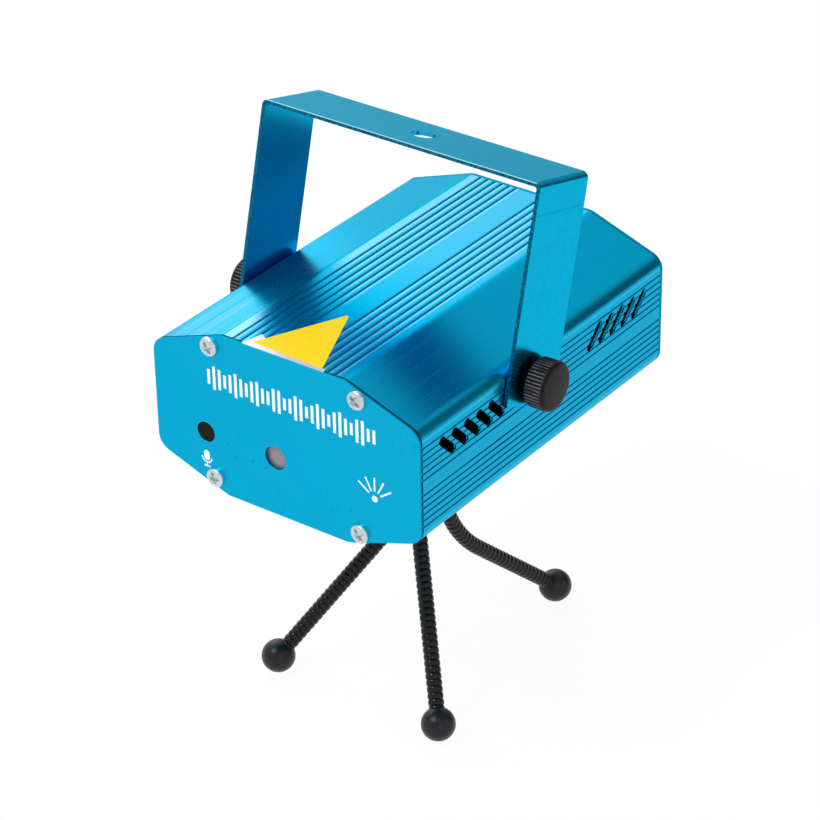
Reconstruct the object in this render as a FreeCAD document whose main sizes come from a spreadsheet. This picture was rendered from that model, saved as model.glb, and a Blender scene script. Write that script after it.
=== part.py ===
import FreeCAD, Part
import math
import os
from types import SimpleNamespace

import Sketcher

# Driving sizes in millimetres, angles in degrees. The case's own frame has its centre in the middle of the
# case, x to the right, y to the rear and z up.
SIZES = {
    # fits shared by all pieces
    "snug_gap": 0.02,
    "running_gap": 0.05,
    "face_gap": 0.1,
    "hole_gap": 0.2,
    "cut_overrun": 1.0,
    # case of two like extrusions between two plates
    "body_width": 92.0,
    "body_height": 51.6,
    "body_length": 120.0,
    "flat_width": 42.5,
    "side_height": 34.1,
    "shell_wall": 1.4,
    "plate_thick": 1.2,
    "edge_radius": 5.0,
    "crown_radius": 6.0,
    "inner_edge_radius": 2.0,
    "seam_gap": 0.06,
    "stand_height": 107.0,
    "side_groove_width": 0.65,
    "top_groove_width": 0.8,
    "groove_depth": 0.3,
    "groove_count": 6,
    "side_groove_first": 2.35,
    "side_groove_pitch": 2.0,
    "top_groove_first": 3.7,
    "top_groove_pitch": 2.55,
    "vent_width": 2.8,
    "vent_inset": 10.19,
    "vent_pitch": 5.74,
    "vent_count": 5,
    "vent_top": 10.4,
    "vent_bottom": 5.5,
    "vent_lean": 4.9,
    "boss_radius": 2.6,
    # plate and fan screws
    "screw_radius": 1.5,
    "screw_head_radius": 2.9,
    "screw_head_height": 1.3,
    "rear_head_radius": 2.2,
    "rear_head_height": 0.8,
    "head_round_share": 0.5,
    "cross_width": 0.9,
    "cross_length": 3.4,
    "cross_depth_share": 0.65,
    "plate_screw_length": 10.0,
    "plate_screw_out": 4.15,
    "plate_screw_drop": 3.13,
    # front openings
    "mic_inset": 17.7,
    "mic_z": -7.3,
    "mic_radius": 3.0,
    "mic_length": 5.2,
    "mic_recess": 0.4,
    "sleeve_radius": 5.0,
    "sleeve_length": 4.2,
    "aperture_x": -3.6,
    "aperture_z": -7.3,
    "aperture_radius": 3.6,
    "window_radius": 5.5,
    "window_thick": 1.0,
    "holder_radius": 8.0,
    "holder_length": 3.0,
    # hanging yoke and its clamps
    "yoke_thick": 1.2,
    "yoke_width": 24.3,
    "yoke_reach": 58.0,
    "yoke_tail": 6.4,
    "yoke_lean": 14.7,
    "yoke_gap": 0.25,
    "yoke_bend": 2.0,
    "yoke_corner": 1.6,
    "hang_hole_radius": 3.5,
    "pivot_y": -8.5,
    "pivot_z": 10.0,
    "stud_radius": 2.5,
    "stud_length": 13.0,
    "washer_radius": 5.0,
    "washer_thick": 0.8,
    "knob_radius": 7.35,
    "knob_length": 6.1,
    "knob_round": 1.1,
    "knob_boss_radius": 4.5,
    "knob_boss_length": 0.8,
    "knob_bore_depth": 4.6,
    "knurl_count": 36,
    "knurl_depth": 0.4,
    "knurl_length": 4.7,
    "knurl_width": 0.9,
    "clamp_nut_flats": 8.0,
    "clamp_nut_thick": 4.0,
    # tripod
    "tripod_y": 5.0,
    "tripod_stud_radius": 3.175,
    "tripod_stud_depth": 6.0,
    "tripod_nut_flats": 11.1,
    "tripod_nut_thick": 5.5,
    "wheel_radius": 10.0,
    "wheel_thick": 5.0,
    "hub_radius": 9.0,
    "hub_top_radius": 7.0,
    "hub_height": 12.0,
    "hub_taper": 3.0,
    "socket_ring": 4.8,
    "socket_depth": 4.0,
    "leg_radius": 2.4,
    "leg_valley_radius": 2.0,
    "leg_bore_radius": 1.2,
    "rib_pitch": 1.9,
    "foot_radius": 5.15,
    "foot_seat": 1.5,
    "left_leg_turn": -124.8,
    "left_leg_slope": 46.0,
    "left_leg_straight": 6.6,
    "left_leg_bend": 22.1,
    "right_leg_turn": -46.3,
    "right_leg_slope": 48.6,
    "right_leg_straight": 7.4,
    "right_leg_bend": 18.8,
    "rear_leg_turn": 72.8,
    "rear_leg_slope": 41.05,
    "rear_leg_straight": 7.1,
    "rear_leg_bend": 39.3,
    # pattern wheel and its motor
    "wheel_offset": 11.0,
    "grating_radius": 15.0,
    "grating_thick": 1.0,
    "grating_setback": 6.3,
    "grating_hub_radius": 4.0,
    "grating_hub_length": 3.0,
    "grating_gap": 0.5,
    "shaft_radius": 1.0,
    "shaft_bury": 6.0,
    "motor_radius": 6.0,
    "motor_length": 16.0,
    "motor_nose_radius": 2.5,
    "motor_nose_length": 1.2,
    "bracket_width": 13.0,
    "bracket_thick": 1.5,
    "bracket_foot": 11.0,
    "bracket_margin": 1.5,
    # lasers and beam combiner
    "laser_radius": 6.0,
    "green_laser_share": 0.5,
    "red_laser_gap": 3.0,
    "laser_lens_radius": 2.0,
    "laser_lens_depth": 2.0,
    "laser_block_width": 18.0,
    "laser_block_cap": 2.5,
    "green_block_share": 0.55,
    "red_block_length": 7.5,
    "laser_overhang": 1.5,
    "combiner_setback": 20.8,
    "combiner_reach": 8.0,
    "mirror_width": 10.0,
    "mirror_height": 10.0,
    "mirror_thick": 1.0,
    "mirror_seat": 2.0,
    "post_width": 6.0,
    "post_depth": 4.0,
    # control board
    "board_width": 44.0,
    "board_share": 0.5,
    "board_thick": 1.6,
    "board_laser_gap": 4.0,
    "board_fan_gap": 0.4,
    "standoff_height": 10.0,
    "standoff_radius": 2.5,
    "board_hole_inset": 4.0,
    "board_screw_radius": 1.25,
    "board_screw_length": 7.0,
    "board_head_radius": 2.2,
    "board_head_height": 1.4,
    "chip_width": 10.0,
    "chip_length_share": 0.18,
    "chip_height": 1.8,
    "capacitor_radius": 3.2,
    "capacitor_height": 9.0,
    "capacitor_spacing": 9.0,
    "connector_width": 6.0,
    "connector_length": 5.0,
    "connector_height": 6.0,
    "connector_pitch": 8.0,
    "connector_count": 4,
    # fan
    "fan_size": 40.0,
    "fan_depth": 10.0,
    "fan_bore_radius": 19.0,
    "fan_hole_pitch": 32.0,
    "fan_screw_length": 14.5,
    "fan_nut_flats": 5.5,
    "fan_nut_thick": 2.4,
    "fan_disc_radius": 9.5,
    "fan_web": 1.5,
    "fan_strut": 3.0,
    "fan_strut_count": 3,
    "fan_post_radius": 2.0,
    "fan_post_length": 6.0,
    "rotor_hub_radius": 10.0,
    "rotor_length": 7.4,
    "rotor_tip": 18.0,
    "rotor_gap": 0.5,
    "blade_count": 7,
    "blade_thick": 1.0,
    "blade_sweep": 3.0,
    "blade_root": 1.0,
    "grille_count": 12,
    "grille_width": 2.6,
    "grille_inner": 6.5,
    "grille_outer": 17.0,
    # rear controls
    "control_shift": 0.7,
    "upper_control_z": 7.0,
    "lower_control_z": -9.0,
    "rocker_bezel_width": 10.5,
    "rocker_bezel_height": 15.0,
    "rocker_bezel_thick": 1.2,
    "rocker_box_width": 8.3,
    "rocker_box_height": 13.3,
    "rocker_box_depth": 12.0,
    "rocker_well_width": 6.9,
    "rocker_well_height": 11.6,
    "rocker_well_depth": 6.0,
    "rocker_half": 5.2,
    "rocker_rise": 2.5,
    "rocker_waist": 1.7,
    "rocker_chin": 0.6,
    "rocker_belly": 2.4,
    "rocker_belly_share": 0.55,
    "rocker_side_gap": 0.2,
    "rocker_pin_radius": 0.8,
    "rocker_pin_reach": 0.4,
    "rocker_sink": 1.3,
    "rocker_throw": 16.0,
    "mode_box_width": 13.0,
    "mode_box_height": 6.0,
    "mode_box_depth": 6.0,
    "mode_channel_depth": 3.0,
    "mode_channel_width": 10.0,
    "mode_channel_height": 3.6,
    "mode_travel": 4.0,
    "mode_stem": 2.6,
    "mode_stem_reach": 2.4,
    "mode_base": 5.0,
    "mode_base_thick": 1.6,
    "mode_margin": 0.4,
    "pot_width": 11.0,
    "pot_depth": 7.0,
    "pot_bush_radius": 3.5,
    "pot_bush_length": 3.4,
    "pot_bury": 3.0,
    "pot_shaft_radius": 2.5,
    "pot_nut_flats": 10.0,
    "pot_nut_thick": 2.0,
    "speed_knob_radius": 7.0,
    "speed_knob_length": 8.0,
    "speed_knob_gap": 0.4,
    "speed_knob_top": 1.5,
    "pointer_width": 1.0,
    "pointer_depth": 0.5,
    "jack_radius": 4.0,
    "jack_depth": 12.0,
    "jack_flange_radius": 5.5,
    "jack_flange_thick": 1.2,
    "jack_hole_radius": 2.85,
    "jack_hole_depth": 10.0,
    "jack_pin_radius": 1.0,
    "jack_pin_recess": 1.0,
    "jack_nut_flats": 11.0,
    "jack_nut_thick": 2.0,
}


class Formula:
    """A size both as the text that binds it to the sheet and as its number."""

    def __init__(self, text, number):
        self.text = text
        self.number = number

    def __add__(self, other):
        other = formula(other)
        return Formula(f"({self.text} + {other.text})", self.number + other.number)

    def __sub__(self, other):
        other = formula(other)
        return Formula(f"({self.text} - {other.text})", self.number - other.number)

    def __rsub__(self, other):
        return formula(other) - self

    def __mul__(self, other):
        other = formula(other)
        return Formula(f"({self.text} * {other.text})", self.number * other.number)

    def __truediv__(self, other):
        other = formula(other)
        return Formula(f"({self.text} / {other.text})", self.number / other.number)

    def __neg__(self):
        return Formula(f"(0 - {self.text})", -self.number)

    __radd__ = __add__
    __rmul__ = __mul__


def formula(amount):
    """A plain number as a formula; a formula as it is."""
    if isinstance(amount, Formula):
        return amount
    return Formula(str(amount), amount)


def root(amount):
    return Formula(f"sqrt({amount.text})", math.sqrt(amount.number))


doc = FreeCAD.newDocument("laser_projector")
sheet = doc.addObject("Spreadsheet::Sheet", "Sizes")
for row, (alias, amount) in enumerate(SIZES.items(), start=1):
    sheet.set(f"A{row}", alias)
    sheet.set(f"B{row}", str(amount))
    sheet.setAlias(f"B{row}", alias)
doc.recompute()
s = SimpleNamespace(**{alias: Formula(f"Sizes.{alias}", getattr(sheet, alias)) for alias in SIZES})

PARTS = []
AXES = {
    "right": (FreeCAD.Vector(0, 1, 0), 90),
    "left": (FreeCAD.Vector(0, 1, 0), -90),
    "front": (FreeCAD.Vector(1, 0, 0), 90),
    "rear": (FreeCAD.Vector(1, 0, 0), -90),
    "askew": (FreeCAD.Vector(0, 0, 1), -45),
    "aside": (FreeCAD.Vector(0, 0, 1), 90),
}

# Levels that several pieces share, in the case's own frame.
half_width = s.body_width / 2
half_height = s.body_height / 2
half_length = s.body_length / 2
half_flat = s.flat_width / 2
half_side = s.side_height / 2
slope_run = half_width - half_flat
slope_rise = half_height - half_side
slope_length = root(slope_run * slope_run + slope_rise * slope_rise)
inner_x = half_width - s.shell_wall
inner_z = half_height - s.shell_wall
front_inside = s.plate_thick - half_length
rear_inside = half_length - s.plate_thick
arm_face = half_width + s.yoke_gap + s.yoke_thick
plate_screw_x = half_flat + s.plate_screw_out
plate_screw_z = half_height - slope_rise * s.plate_screw_out / slope_run - s.plate_screw_drop
control_x = (s.fan_size / 2 + inner_x) / 2 + s.control_shift
mic_x = s.mic_inset - half_width
speed_knob_face = half_length + s.pot_nut_thick + s.speed_knob_gap
rear_reach = speed_knob_face + s.speed_knob_length - half_length

# The origin lies on the floor, below the middle of the whole outline.
case_y = (s.screw_head_height - rear_reach) / 2
case_z = s.stand_height


def bind(item, prop, amount):
    item.setExpression(prop, formula(amount).text)


def place(item, x=0, y=0, z=0, axis=None):
    """Put a piece at a point of the case's frame, its own z axis turned to face the way named."""
    if axis:
        item.Placement = FreeCAD.Placement(FreeCAD.Vector(), FreeCAD.Rotation(*AXES[axis]))
    for letter, amount, shift in zip("xyz", (x, y, z), (0, case_y, case_z)):
        bind(item, f"Placement.Base.{letter}", formula(amount) + shift)


def keep(item, name):
    """List a finished piece under the name of its file."""
    item.Label = name
    PARTS.append(item)
    return item


def origin(body, role):
    return next(item for item in body.Origin.OriginFeatures if item.Role == role)


def new_body(name):
    return keep(doc.addObject("PartDesign::Body", name), name)


def new_sketch(body, plane, lift=0):
    sketch = body.newObject("Sketcher::SketchObject", body.Name + "_sketch")
    sketch.AttachmentSupport = (origin(body, plane), "")
    sketch.MapMode = "FlatFace"
    bind(sketch, "AttachmentOffset.Base.z", lift)
    return sketch


def measure(sketch, kind, geometry, amount, point=None):
    """Bind one measure of a sketch to the sheet: a radius, or a point's distance from the origin."""
    amount = formula(amount)
    if point is None:
        constraint = Sketcher.Constraint(kind, geometry, amount.number)
    else:
        constraint = Sketcher.Constraint(kind, -1, 1, geometry, point, amount.number)
    index = sketch.addConstraint(constraint)
    sketch.setExpression(f"Constraints[{index}]", amount.text)


def fix_point(sketch, geometry, point, x, y):
    measure(sketch, "DistanceX", geometry, x, point)
    measure(sketch, "DistanceY", geometry, y, point)


def vector(x, y):
    return FreeCAD.Vector(formula(x).number, formula(y).number, 0)


def polygon(sketch, points):
    """Closed outline of straight edges through points given as formulas."""
    corners = [vector(x, y) for x, y in points]
    lines = []
    for start, end in zip(corners, corners[1:] + corners[:1]):
        lines.append(sketch.addGeometry(Part.LineSegment(start, end), False))
    for before, after in zip(lines[-1:] + lines[:-1], lines):
        sketch.addConstraint(Sketcher.Constraint("Coincident", before, 2, after, 1))
    for line, (x, y) in zip(lines, points):
        fix_point(sketch, line, 1, x, y)


def rectangle(sketch, left, right, low, high):
    polygon(sketch, [(left, low), (right, low), (right, high), (left, high)])


def circle(sketch, x, y, radius):
    radius = formula(radius)
    ring = Part.Circle(vector(x, y), FreeCAD.Vector(0, 0, 1), radius.number)
    index = sketch.addGeometry(ring, False)
    measure(sketch, "Radius", index, radius)
    fix_point(sketch, index, 3, x, y)


def slot(sketch, first, second, radius):
    """Round-ended slot between two centres."""
    start, end = vector(*first), vector(*second)
    bearing = math.atan2(end.y - start.y, end.x - start.x)
    up = FreeCAD.Vector(0, 0, 1)
    side = FreeCAD.Vector(-math.sin(bearing), math.cos(bearing), 0) * radius.number
    quarter = math.pi / 2
    head = Part.ArcOfCircle(Part.Circle(start, up, radius.number), bearing + quarter, bearing + 3 * quarter)
    tail = Part.ArcOfCircle(Part.Circle(end, up, radius.number), bearing - quarter, bearing + quarter)
    head = sketch.addGeometry(head, False)
    tail = sketch.addGeometry(tail, False)
    upper = sketch.addGeometry(Part.LineSegment(start + side, end + side), False)
    lower = sketch.addGeometry(Part.LineSegment(start - side, end - side), False)
    for arc, arc_end, line, line_end in (
        (head, 1, upper, 1),
        (head, 2, lower, 1),
        (tail, 2, upper, 2),
        (tail, 1, lower, 2),
    ):
        sketch.addConstraint(Sketcher.Constraint("Tangent", arc, arc_end, line, line_end))
    fix_point(sketch, head, 3, *first)
    fix_point(sketch, tail, 3, *second)
    measure(sketch, "Radius", head, radius)


def pad(body, sketch, length, both=False, reverse=False):
    feature = body.newObject("PartDesign::Pad", body.Name + "_pad")
    feature.Profile = sketch
    bind(feature, "Length", length)
    feature.SideType = "Symmetric" if both else "One side"
    feature.Reversed = reverse
    return feature


def pocket(body, sketch, depth=None, reverse=False, both=False):
    """Cut to a depth, or right through both ways where none is given."""
    feature = body.newObject("PartDesign::Pocket", body.Name + "_pocket")
    feature.Profile = sketch
    if depth is None:
        feature.Type = "ThroughAll"
        feature.SideType = "Symmetric"
    else:
        bind(feature, "Length", depth)
        feature.SideType = "Symmetric" if both else "One side"
        feature.Reversed = reverse
    return feature


def polar(body, feature, axis, count):
    pattern = body.newObject("PartDesign::PolarPattern", body.Name + "_polar")
    pattern.Originals = [feature]
    pattern.Axis = (origin(body, axis), [""])
    pattern.Angle = 360
    bind(pattern, "Occurrences", count)
    body.Tip = pattern
    return pattern


def grid(body, x_pitch, y_pitch):
    """Repeat a whole body two by two along its own x and y."""
    doc.recompute()
    pattern = body.newObject("PartDesign::LinearPattern", body.Name + "_grid")
    pattern.TransformMode = "Whole shape"
    pattern.Direction = (origin(body, "X_Axis"), [""])
    bind(pattern, "Length", x_pitch)
    pattern.Occurrences = 2
    pattern.Direction2 = (origin(body, "Y_Axis"), [""])
    bind(pattern, "Length2", y_pitch)
    pattern.Occurrences2 = 2
    body.Tip = pattern


def mirror(body, feature):
    """Repeat a feature on the other side of the body's own yz plane."""
    copy = body.newObject("PartDesign::Mirrored", body.Name + "_mirror")
    copy.Originals = [feature]
    copy.MirrorPlane = (origin(body, "YZ_Plane"), [""])
    body.Tip = copy


def round_edges(body, feature, radius, chosen):
    """Fillet the edges whose midpoint passes a test."""
    doc.recompute()
    names = []
    for number, edge in enumerate(feature.Shape.Edges, start=1):
        if chosen(edge, edge.valueAt((edge.FirstParameter + edge.LastParameter) / 2)):
            names.append(f"Edge{number}")
    finish = body.newObject("PartDesign::Fillet", body.Name + "_edges")
    finish.Base = (feature, names)
    bind(finish, "Radius", radius)
    body.Tip = finish
    return finish


def along(edge, letter):
    """True for a straight edge that runs along one axis."""
    box = edge.BoundBox
    spans = {"x": box.XLength, "y": box.YLength, "z": box.ZLength}
    span = spans.pop(letter)
    return edge.Length > 0 and abs(span - edge.Length) < 1e-6 and max(spans.values()) < 1e-6


def near(number, amount):
    return abs(number - formula(amount).number) < 1e-6


def revolve(body, points):
    """Full turn of an outline given as radius and height about the body's z axis."""
    sketch = new_sketch(body, "XZ_Plane")
    polygon(sketch, points)
    feature = body.newObject("PartDesign::Revolution", body.Name + "_turn")
    feature.Profile = sketch
    feature.ReferenceAxis = (sketch, ["V_Axis"])
    feature.Angle = 360
    return feature


def turned(name, points):
    body = new_body(name)
    revolve(body, points)
    return body


def rod(name, radius, length, x, y, z, axis=None):
    item = keep(doc.addObject("Part::Cylinder", name), name)
    bind(item, "Radius", radius)
    bind(item, "Height", length)
    place(item, x, y, z, axis)
    return item


def tube(name, outer, inner, length):
    return turned(name, [(inner, 0), (outer, 0), (outer, length), (inner, length)])


def box(name, width, length, height, x, y, z):
    """Block by its middle in x and y and its lower face."""
    item = keep(doc.addObject("Part::Box", name), name)
    bind(item, "Length", width)
    bind(item, "Width", length)
    bind(item, "Height", height)
    place(item, x - width / 2, y - length / 2, z)


def hexagon(sketch, flats, x=0, y=0):
    side = flats / root(formula(3))
    points = []
    for x_share, y_share in ((1, 0), (0.5, 0.5), (-0.5, 0.5), (-1, 0), (-0.5, -0.5), (0.5, -0.5)):
        points.append((x + side * x_share, y + flats * y_share))
    polygon(sketch, points)


def nut(name, flats, thick, bore):
    """Hexagon nut with its bearing face at its own origin."""
    body = new_body(name)
    sketch = new_sketch(body, "XY_Plane")
    hexagon(sketch, flats)
    circle(sketch, 0, 0, bore)
    pad(body, sketch, thick)
    return body


def knurl(body, radius, start, length):
    """V grooves around a rim, from one height for a length."""
    sketch = new_sketch(body, "XY_Plane", start)
    outside = radius + s.cut_overrun
    spread = s.knurl_width / 2 * (s.knurl_depth + s.cut_overrun) / s.knurl_depth
    polygon(sketch, [(radius - s.knurl_depth, 0), (outside, -spread), (outside, spread)])
    polar(body, pocket(body, sketch, length, reverse=True), "Z_Axis", s.knurl_count)


def screws(name, radius, length, head_radius, head_height, x_pitch, y_pitch):
    """Four pan-head screws at the corners of a rectangle, heads seated at their own z = 0."""
    body = new_body(name)
    turn = revolve(body, [
        (0, -length),
        (radius, -length),
        (radius, 0),
        (head_radius, 0),
        (head_radius, head_height),
        (0, head_height),
    ])
    round_edges(body, turn, head_height * s.head_round_share, lambda edge, middle: near(middle.z, head_height))
    for width, depth in ((s.cross_length, s.cross_width), (s.cross_width, s.cross_length)):
        sketch = new_sketch(body, "XY_Plane", head_height)
        rectangle(sketch, -width / 2, width / 2, -depth / 2, depth / 2)
        pocket(body, sketch, head_height * s.cross_depth_share)
    grid(body, x_pitch, y_pitch)
    return body


# Case

side_drop = s.shell_wall * (slope_length - slope_rise) / slope_run
flat_trim = s.shell_wall * (slope_length - slope_run) / slope_rise


def half_shell(name):
    """Grooved half of the case, open below, with a screw channel in each upper corner."""
    body = new_body(name)
    seam = s.seam_gap / 2
    sketch = new_sketch(body, "XZ_Plane")
    polygon(sketch, [
        (-half_width, seam),
        (half_width, seam),
        (half_width, half_side),
        (half_flat, half_height),
        (-half_flat, half_height),
        (-half_width, half_side),
    ])
    bar = pad(body, sketch, s.body_length - s.plate_thick * 2, both=True)
    sides = round_edges(
        body, bar, s.edge_radius, lambda edge, middle: along(edge, "y") and near(middle.z, half_side)
    )
    round_edges(
        body, sides, s.crown_radius, lambda edge, middle: along(edge, "y") and near(middle.z, half_height)
    )
    sketch = new_sketch(body, "XZ_Plane")
    polygon(sketch, [
        (-inner_x, -s.cut_overrun),
        (inner_x, -s.cut_overrun),
        (inner_x, half_side - side_drop),
        (half_flat - flat_trim, inner_z),
        (flat_trim - half_flat, inner_z),
        (-inner_x, half_side - side_drop),
    ])
    hollow = pocket(body, sketch)
    round_edges(
        body,
        hollow,
        s.inner_edge_radius,
        lambda edge, middle: along(edge, "y") and near(middle.z, half_side - side_drop),
    )
    sketch = new_sketch(body, "XZ_Plane")
    for x in (-plate_screw_x, plate_screw_x):
        circle(sketch, x, plate_screw_z, s.boss_radius)
    pad(body, sketch, s.body_length - s.plate_thick * 2, both=True)
    sketch = new_sketch(body, "XZ_Plane")
    for x in (-plate_screw_x, plate_screw_x):
        circle(sketch, x, plate_screw_z, s.screw_radius + s.snug_gap)
    pocket(body, sketch)
    sketch = new_sketch(body, "XZ_Plane")
    for number in range(SIZES["groove_count"]):
        level = s.side_groove_first + s.side_groove_pitch * number
        across = half_flat - s.top_groove_first - s.top_groove_pitch * number
        half_groove = s.side_groove_width / 2
        half_top_groove = s.top_groove_width / 2
        rectangle(
            sketch, half_width - s.groove_depth, half_width + s.cut_overrun, level - half_groove, level + half_groove
        )
        rectangle(
            sketch,
            across - half_top_groove,
            across + half_top_groove,
            half_height - s.groove_depth,
            half_height + s.cut_overrun,
        )
    mirror(body, pocket(body, sketch))
    return body


upper_shell = half_shell("upper_shell")
vents = new_sketch(upper_shell, "YZ_Plane")
for number in range(SIZES["vent_count"]):
    far = half_length - s.vent_inset - s.vent_pitch * number
    for sign in (-1, 1):
        slot(vents, (far * sign, s.vent_top), ((far - s.vent_lean) * sign, s.vent_bottom), s.vent_width / 2)
circle(vents, s.pivot_y, s.pivot_z, s.stud_radius + s.hole_gap)
pocket(upper_shell, vents)
place(upper_shell)

lower_shell = half_shell("lower_shell")
floor_hole = new_sketch(lower_shell, "XY_Plane")
circle(floor_hole, 0, s.tripod_y, s.tripod_stud_radius + s.hole_gap)
pocket(lower_shell, floor_hole)
lower_shell.Placement = FreeCAD.Placement(FreeCAD.Vector(), FreeCAD.Rotation(FreeCAD.Vector(0, 1, 0), 180))
place(lower_shell)


def end_plate(name):
    """Octagonal plate with rounded corners and its four screw holes."""
    body = new_body(name)
    sketch = new_sketch(body, "XZ_Plane")
    polygon(sketch, [
        (-half_width, -half_side),
        (-half_flat, -half_height),
        (half_flat, -half_height),
        (half_width, -half_side),
        (half_width, half_side),
        (half_flat, half_height),
        (-half_flat, half_height),
        (-half_width, half_side),
    ])
    panel = pad(body, sketch, s.plate_thick)
    sides = round_edges(
        body, panel, s.edge_radius, lambda edge, middle: along(edge, "y") and near(abs(middle.z), half_side)
    )
    round_edges(
        body, sides, s.crown_radius, lambda edge, middle: along(edge, "y") and near(abs(middle.z), half_height)
    )
    holes = new_sketch(body, "XZ_Plane")
    for x in (-plate_screw_x, plate_screw_x):
        for z in (-plate_screw_z, plate_screw_z):
            circle(holes, x, z, s.screw_radius + s.hole_gap)
    return body, holes


front_plate, front_holes = end_plate("front_plate")
circle(front_holes, mic_x, s.mic_z, s.mic_radius + s.face_gap)
circle(front_holes, s.aperture_x, s.aperture_z, s.aperture_radius)
pocket(front_plate, front_holes)
place(front_plate, y=front_inside)

rear_plate, rear_holes = end_plate("rear_plate")
half_fan_pitch = s.fan_hole_pitch / 2
for x in (-half_fan_pitch, half_fan_pitch):
    for z in (-half_fan_pitch, half_fan_pitch):
        circle(rear_holes, x, z, s.screw_radius + s.hole_gap)
half_cut = s.rocker_box_width / 2 + s.face_gap
half_cut_height = s.rocker_box_height / 2 + s.face_gap
rectangle(
    rear_holes,
    control_x - half_cut,
    control_x + half_cut,
    s.upper_control_z - half_cut_height,
    s.upper_control_z + half_cut_height,
)
half_slot = (s.mode_travel + s.mode_stem) / 2 + s.mode_margin
half_slot_height = s.mode_stem / 2 + s.mode_margin
rectangle(
    rear_holes,
    -control_x - half_slot,
    half_slot - control_x,
    s.lower_control_z - half_slot_height,
    s.lower_control_z + half_slot_height,
)
circle(rear_holes, -control_x, s.upper_control_z, s.pot_bush_radius + s.face_gap)
circle(rear_holes, control_x, s.lower_control_z, s.jack_radius + s.face_gap)
pocket(rear_plate, rear_holes)
grille = new_sketch(rear_plate, "XZ_Plane")
rectangle(grille, -s.grille_width / 2, s.grille_width / 2, s.grille_inner, s.grille_outer)
polar(rear_plate, pocket(rear_plate, grille), "Y_Axis", s.grille_count)
place(rear_plate, y=half_length)

plate_screw_sizes = (s.screw_radius, s.plate_screw_length)
plate_screw_pitch = (plate_screw_x * 2, plate_screw_z * 2)
front_screws = screws(
    "front_screws", *plate_screw_sizes, s.screw_head_radius, s.screw_head_height, *plate_screw_pitch
)
place(front_screws, -plate_screw_x, -half_length, -plate_screw_z, "front")
rear_screws = screws("rear_screws", *plate_screw_sizes, s.rear_head_radius, s.rear_head_height, *plate_screw_pitch)
place(rear_screws, -plate_screw_x, half_length, plate_screw_z, "rear")

# Yoke, turning about the studs of its two clamp knobs

yoke = new_body("yoke")
strip = new_sketch(yoke, "XZ_Plane")
arm_inside = arm_face - s.yoke_thick
reach_inside = s.yoke_reach - s.yoke_thick
polygon(strip, [
    (-arm_face, -s.yoke_tail),
    (-arm_inside, -s.yoke_tail),
    (-arm_inside, reach_inside),
    (arm_inside, reach_inside),
    (arm_inside, -s.yoke_tail),
    (arm_face, -s.yoke_tail),
    (arm_face, s.yoke_reach),
    (-arm_face, s.yoke_reach),
])
bracket = pad(yoke, strip, s.yoke_width, both=True)
outer_bends = round_edges(
    yoke, bracket, s.yoke_bend, lambda edge, middle: along(edge, "y") and near(middle.z, s.yoke_reach)
)
inner_bends = round_edges(
    yoke,
    outer_bends,
    s.yoke_bend - s.yoke_thick,
    lambda edge, middle: along(edge, "y") and near(middle.z, reach_inside),
)
round_edges(
    yoke, inner_bends, s.yoke_corner, lambda edge, middle: along(edge, "x") and near(middle.z, -s.yoke_tail)
)
stud_holes = new_sketch(yoke, "YZ_Plane")
circle(stud_holes, 0, 0, s.stud_radius + s.hole_gap)
pocket(yoke, stud_holes)
hang_hole = new_sketch(yoke, "XY_Plane")
circle(hang_hole, 0, 0, s.hang_hole_radius)
pocket(yoke, hang_hole)
lean = FreeCAD.Rotation(FreeCAD.Vector(1, 0, 0), -s.yoke_lean.number)
yoke.Placement = FreeCAD.Placement(FreeCAD.Vector(), lean)
place(yoke, 0, s.pivot_y, s.pivot_z)

washer_face = arm_face + s.face_gap
knob_face = washer_face + s.washer_thick + s.face_gap


def clamp_knob(side, sign):
    """Knurled knob with a blind bore for its stud, and the stud."""
    bore = s.stud_radius + s.snug_gap
    rim = s.knob_boss_length + s.knob_length
    knob = new_body(f"{side}_knob")
    turn = revolve(knob, [
        (bore, 0),
        (s.knob_boss_radius, 0),
        (s.knob_boss_radius, s.knob_boss_length),
        (s.knob_radius, s.knob_boss_length),
        (s.knob_radius, rim),
        (0, rim),
        (0, s.knob_bore_depth),
        (bore, s.knob_bore_depth),
    ])
    round_edges(knob, turn, s.knob_round, lambda edge, middle: near(middle.z, rim))
    knurl(knob, s.knob_radius, s.knob_boss_length, s.knurl_length)
    place(knob, knob_face * sign, s.pivot_y, s.pivot_z, side)
    stud_start = knob_face + s.knob_bore_depth - s.stud_length
    rod(f"{side}_stud", s.stud_radius, s.stud_length, stud_start * sign, s.pivot_y, s.pivot_z, side)


for side, sign in (("left", -1), ("right", 1)):
    clamp_knob(side, sign)

clamp_washers = new_body("clamp_washers")
ring = new_sketch(clamp_washers, "YZ_Plane", washer_face)
circle(ring, 0, 0, s.washer_radius)
circle(ring, 0, 0, s.stud_radius + s.running_gap)
mirror(clamp_washers, pad(clamp_washers, ring, s.washer_thick))
place(clamp_washers, 0, s.pivot_y, s.pivot_z)

clamp_nuts = new_body("clamp_nuts")
ring = new_sketch(clamp_nuts, "YZ_Plane", inner_x - s.clamp_nut_thick)
hexagon(ring, s.clamp_nut_flats)
circle(ring, 0, 0, s.stud_radius + s.running_gap)
mirror(clamp_nuts, pad(clamp_nuts, ring, s.clamp_nut_thick))
place(clamp_nuts, 0, s.pivot_y, s.pivot_z)

# Tripod: stud and lock wheel under the case, hub with three gooseneck legs on ball feet

wheel_base = -half_height - s.face_gap - s.wheel_thick
hub_top = wheel_base - s.face_gap
hub_base = hub_top - s.hub_height
socket_radius = s.leg_radius + s.face_gap

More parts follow.
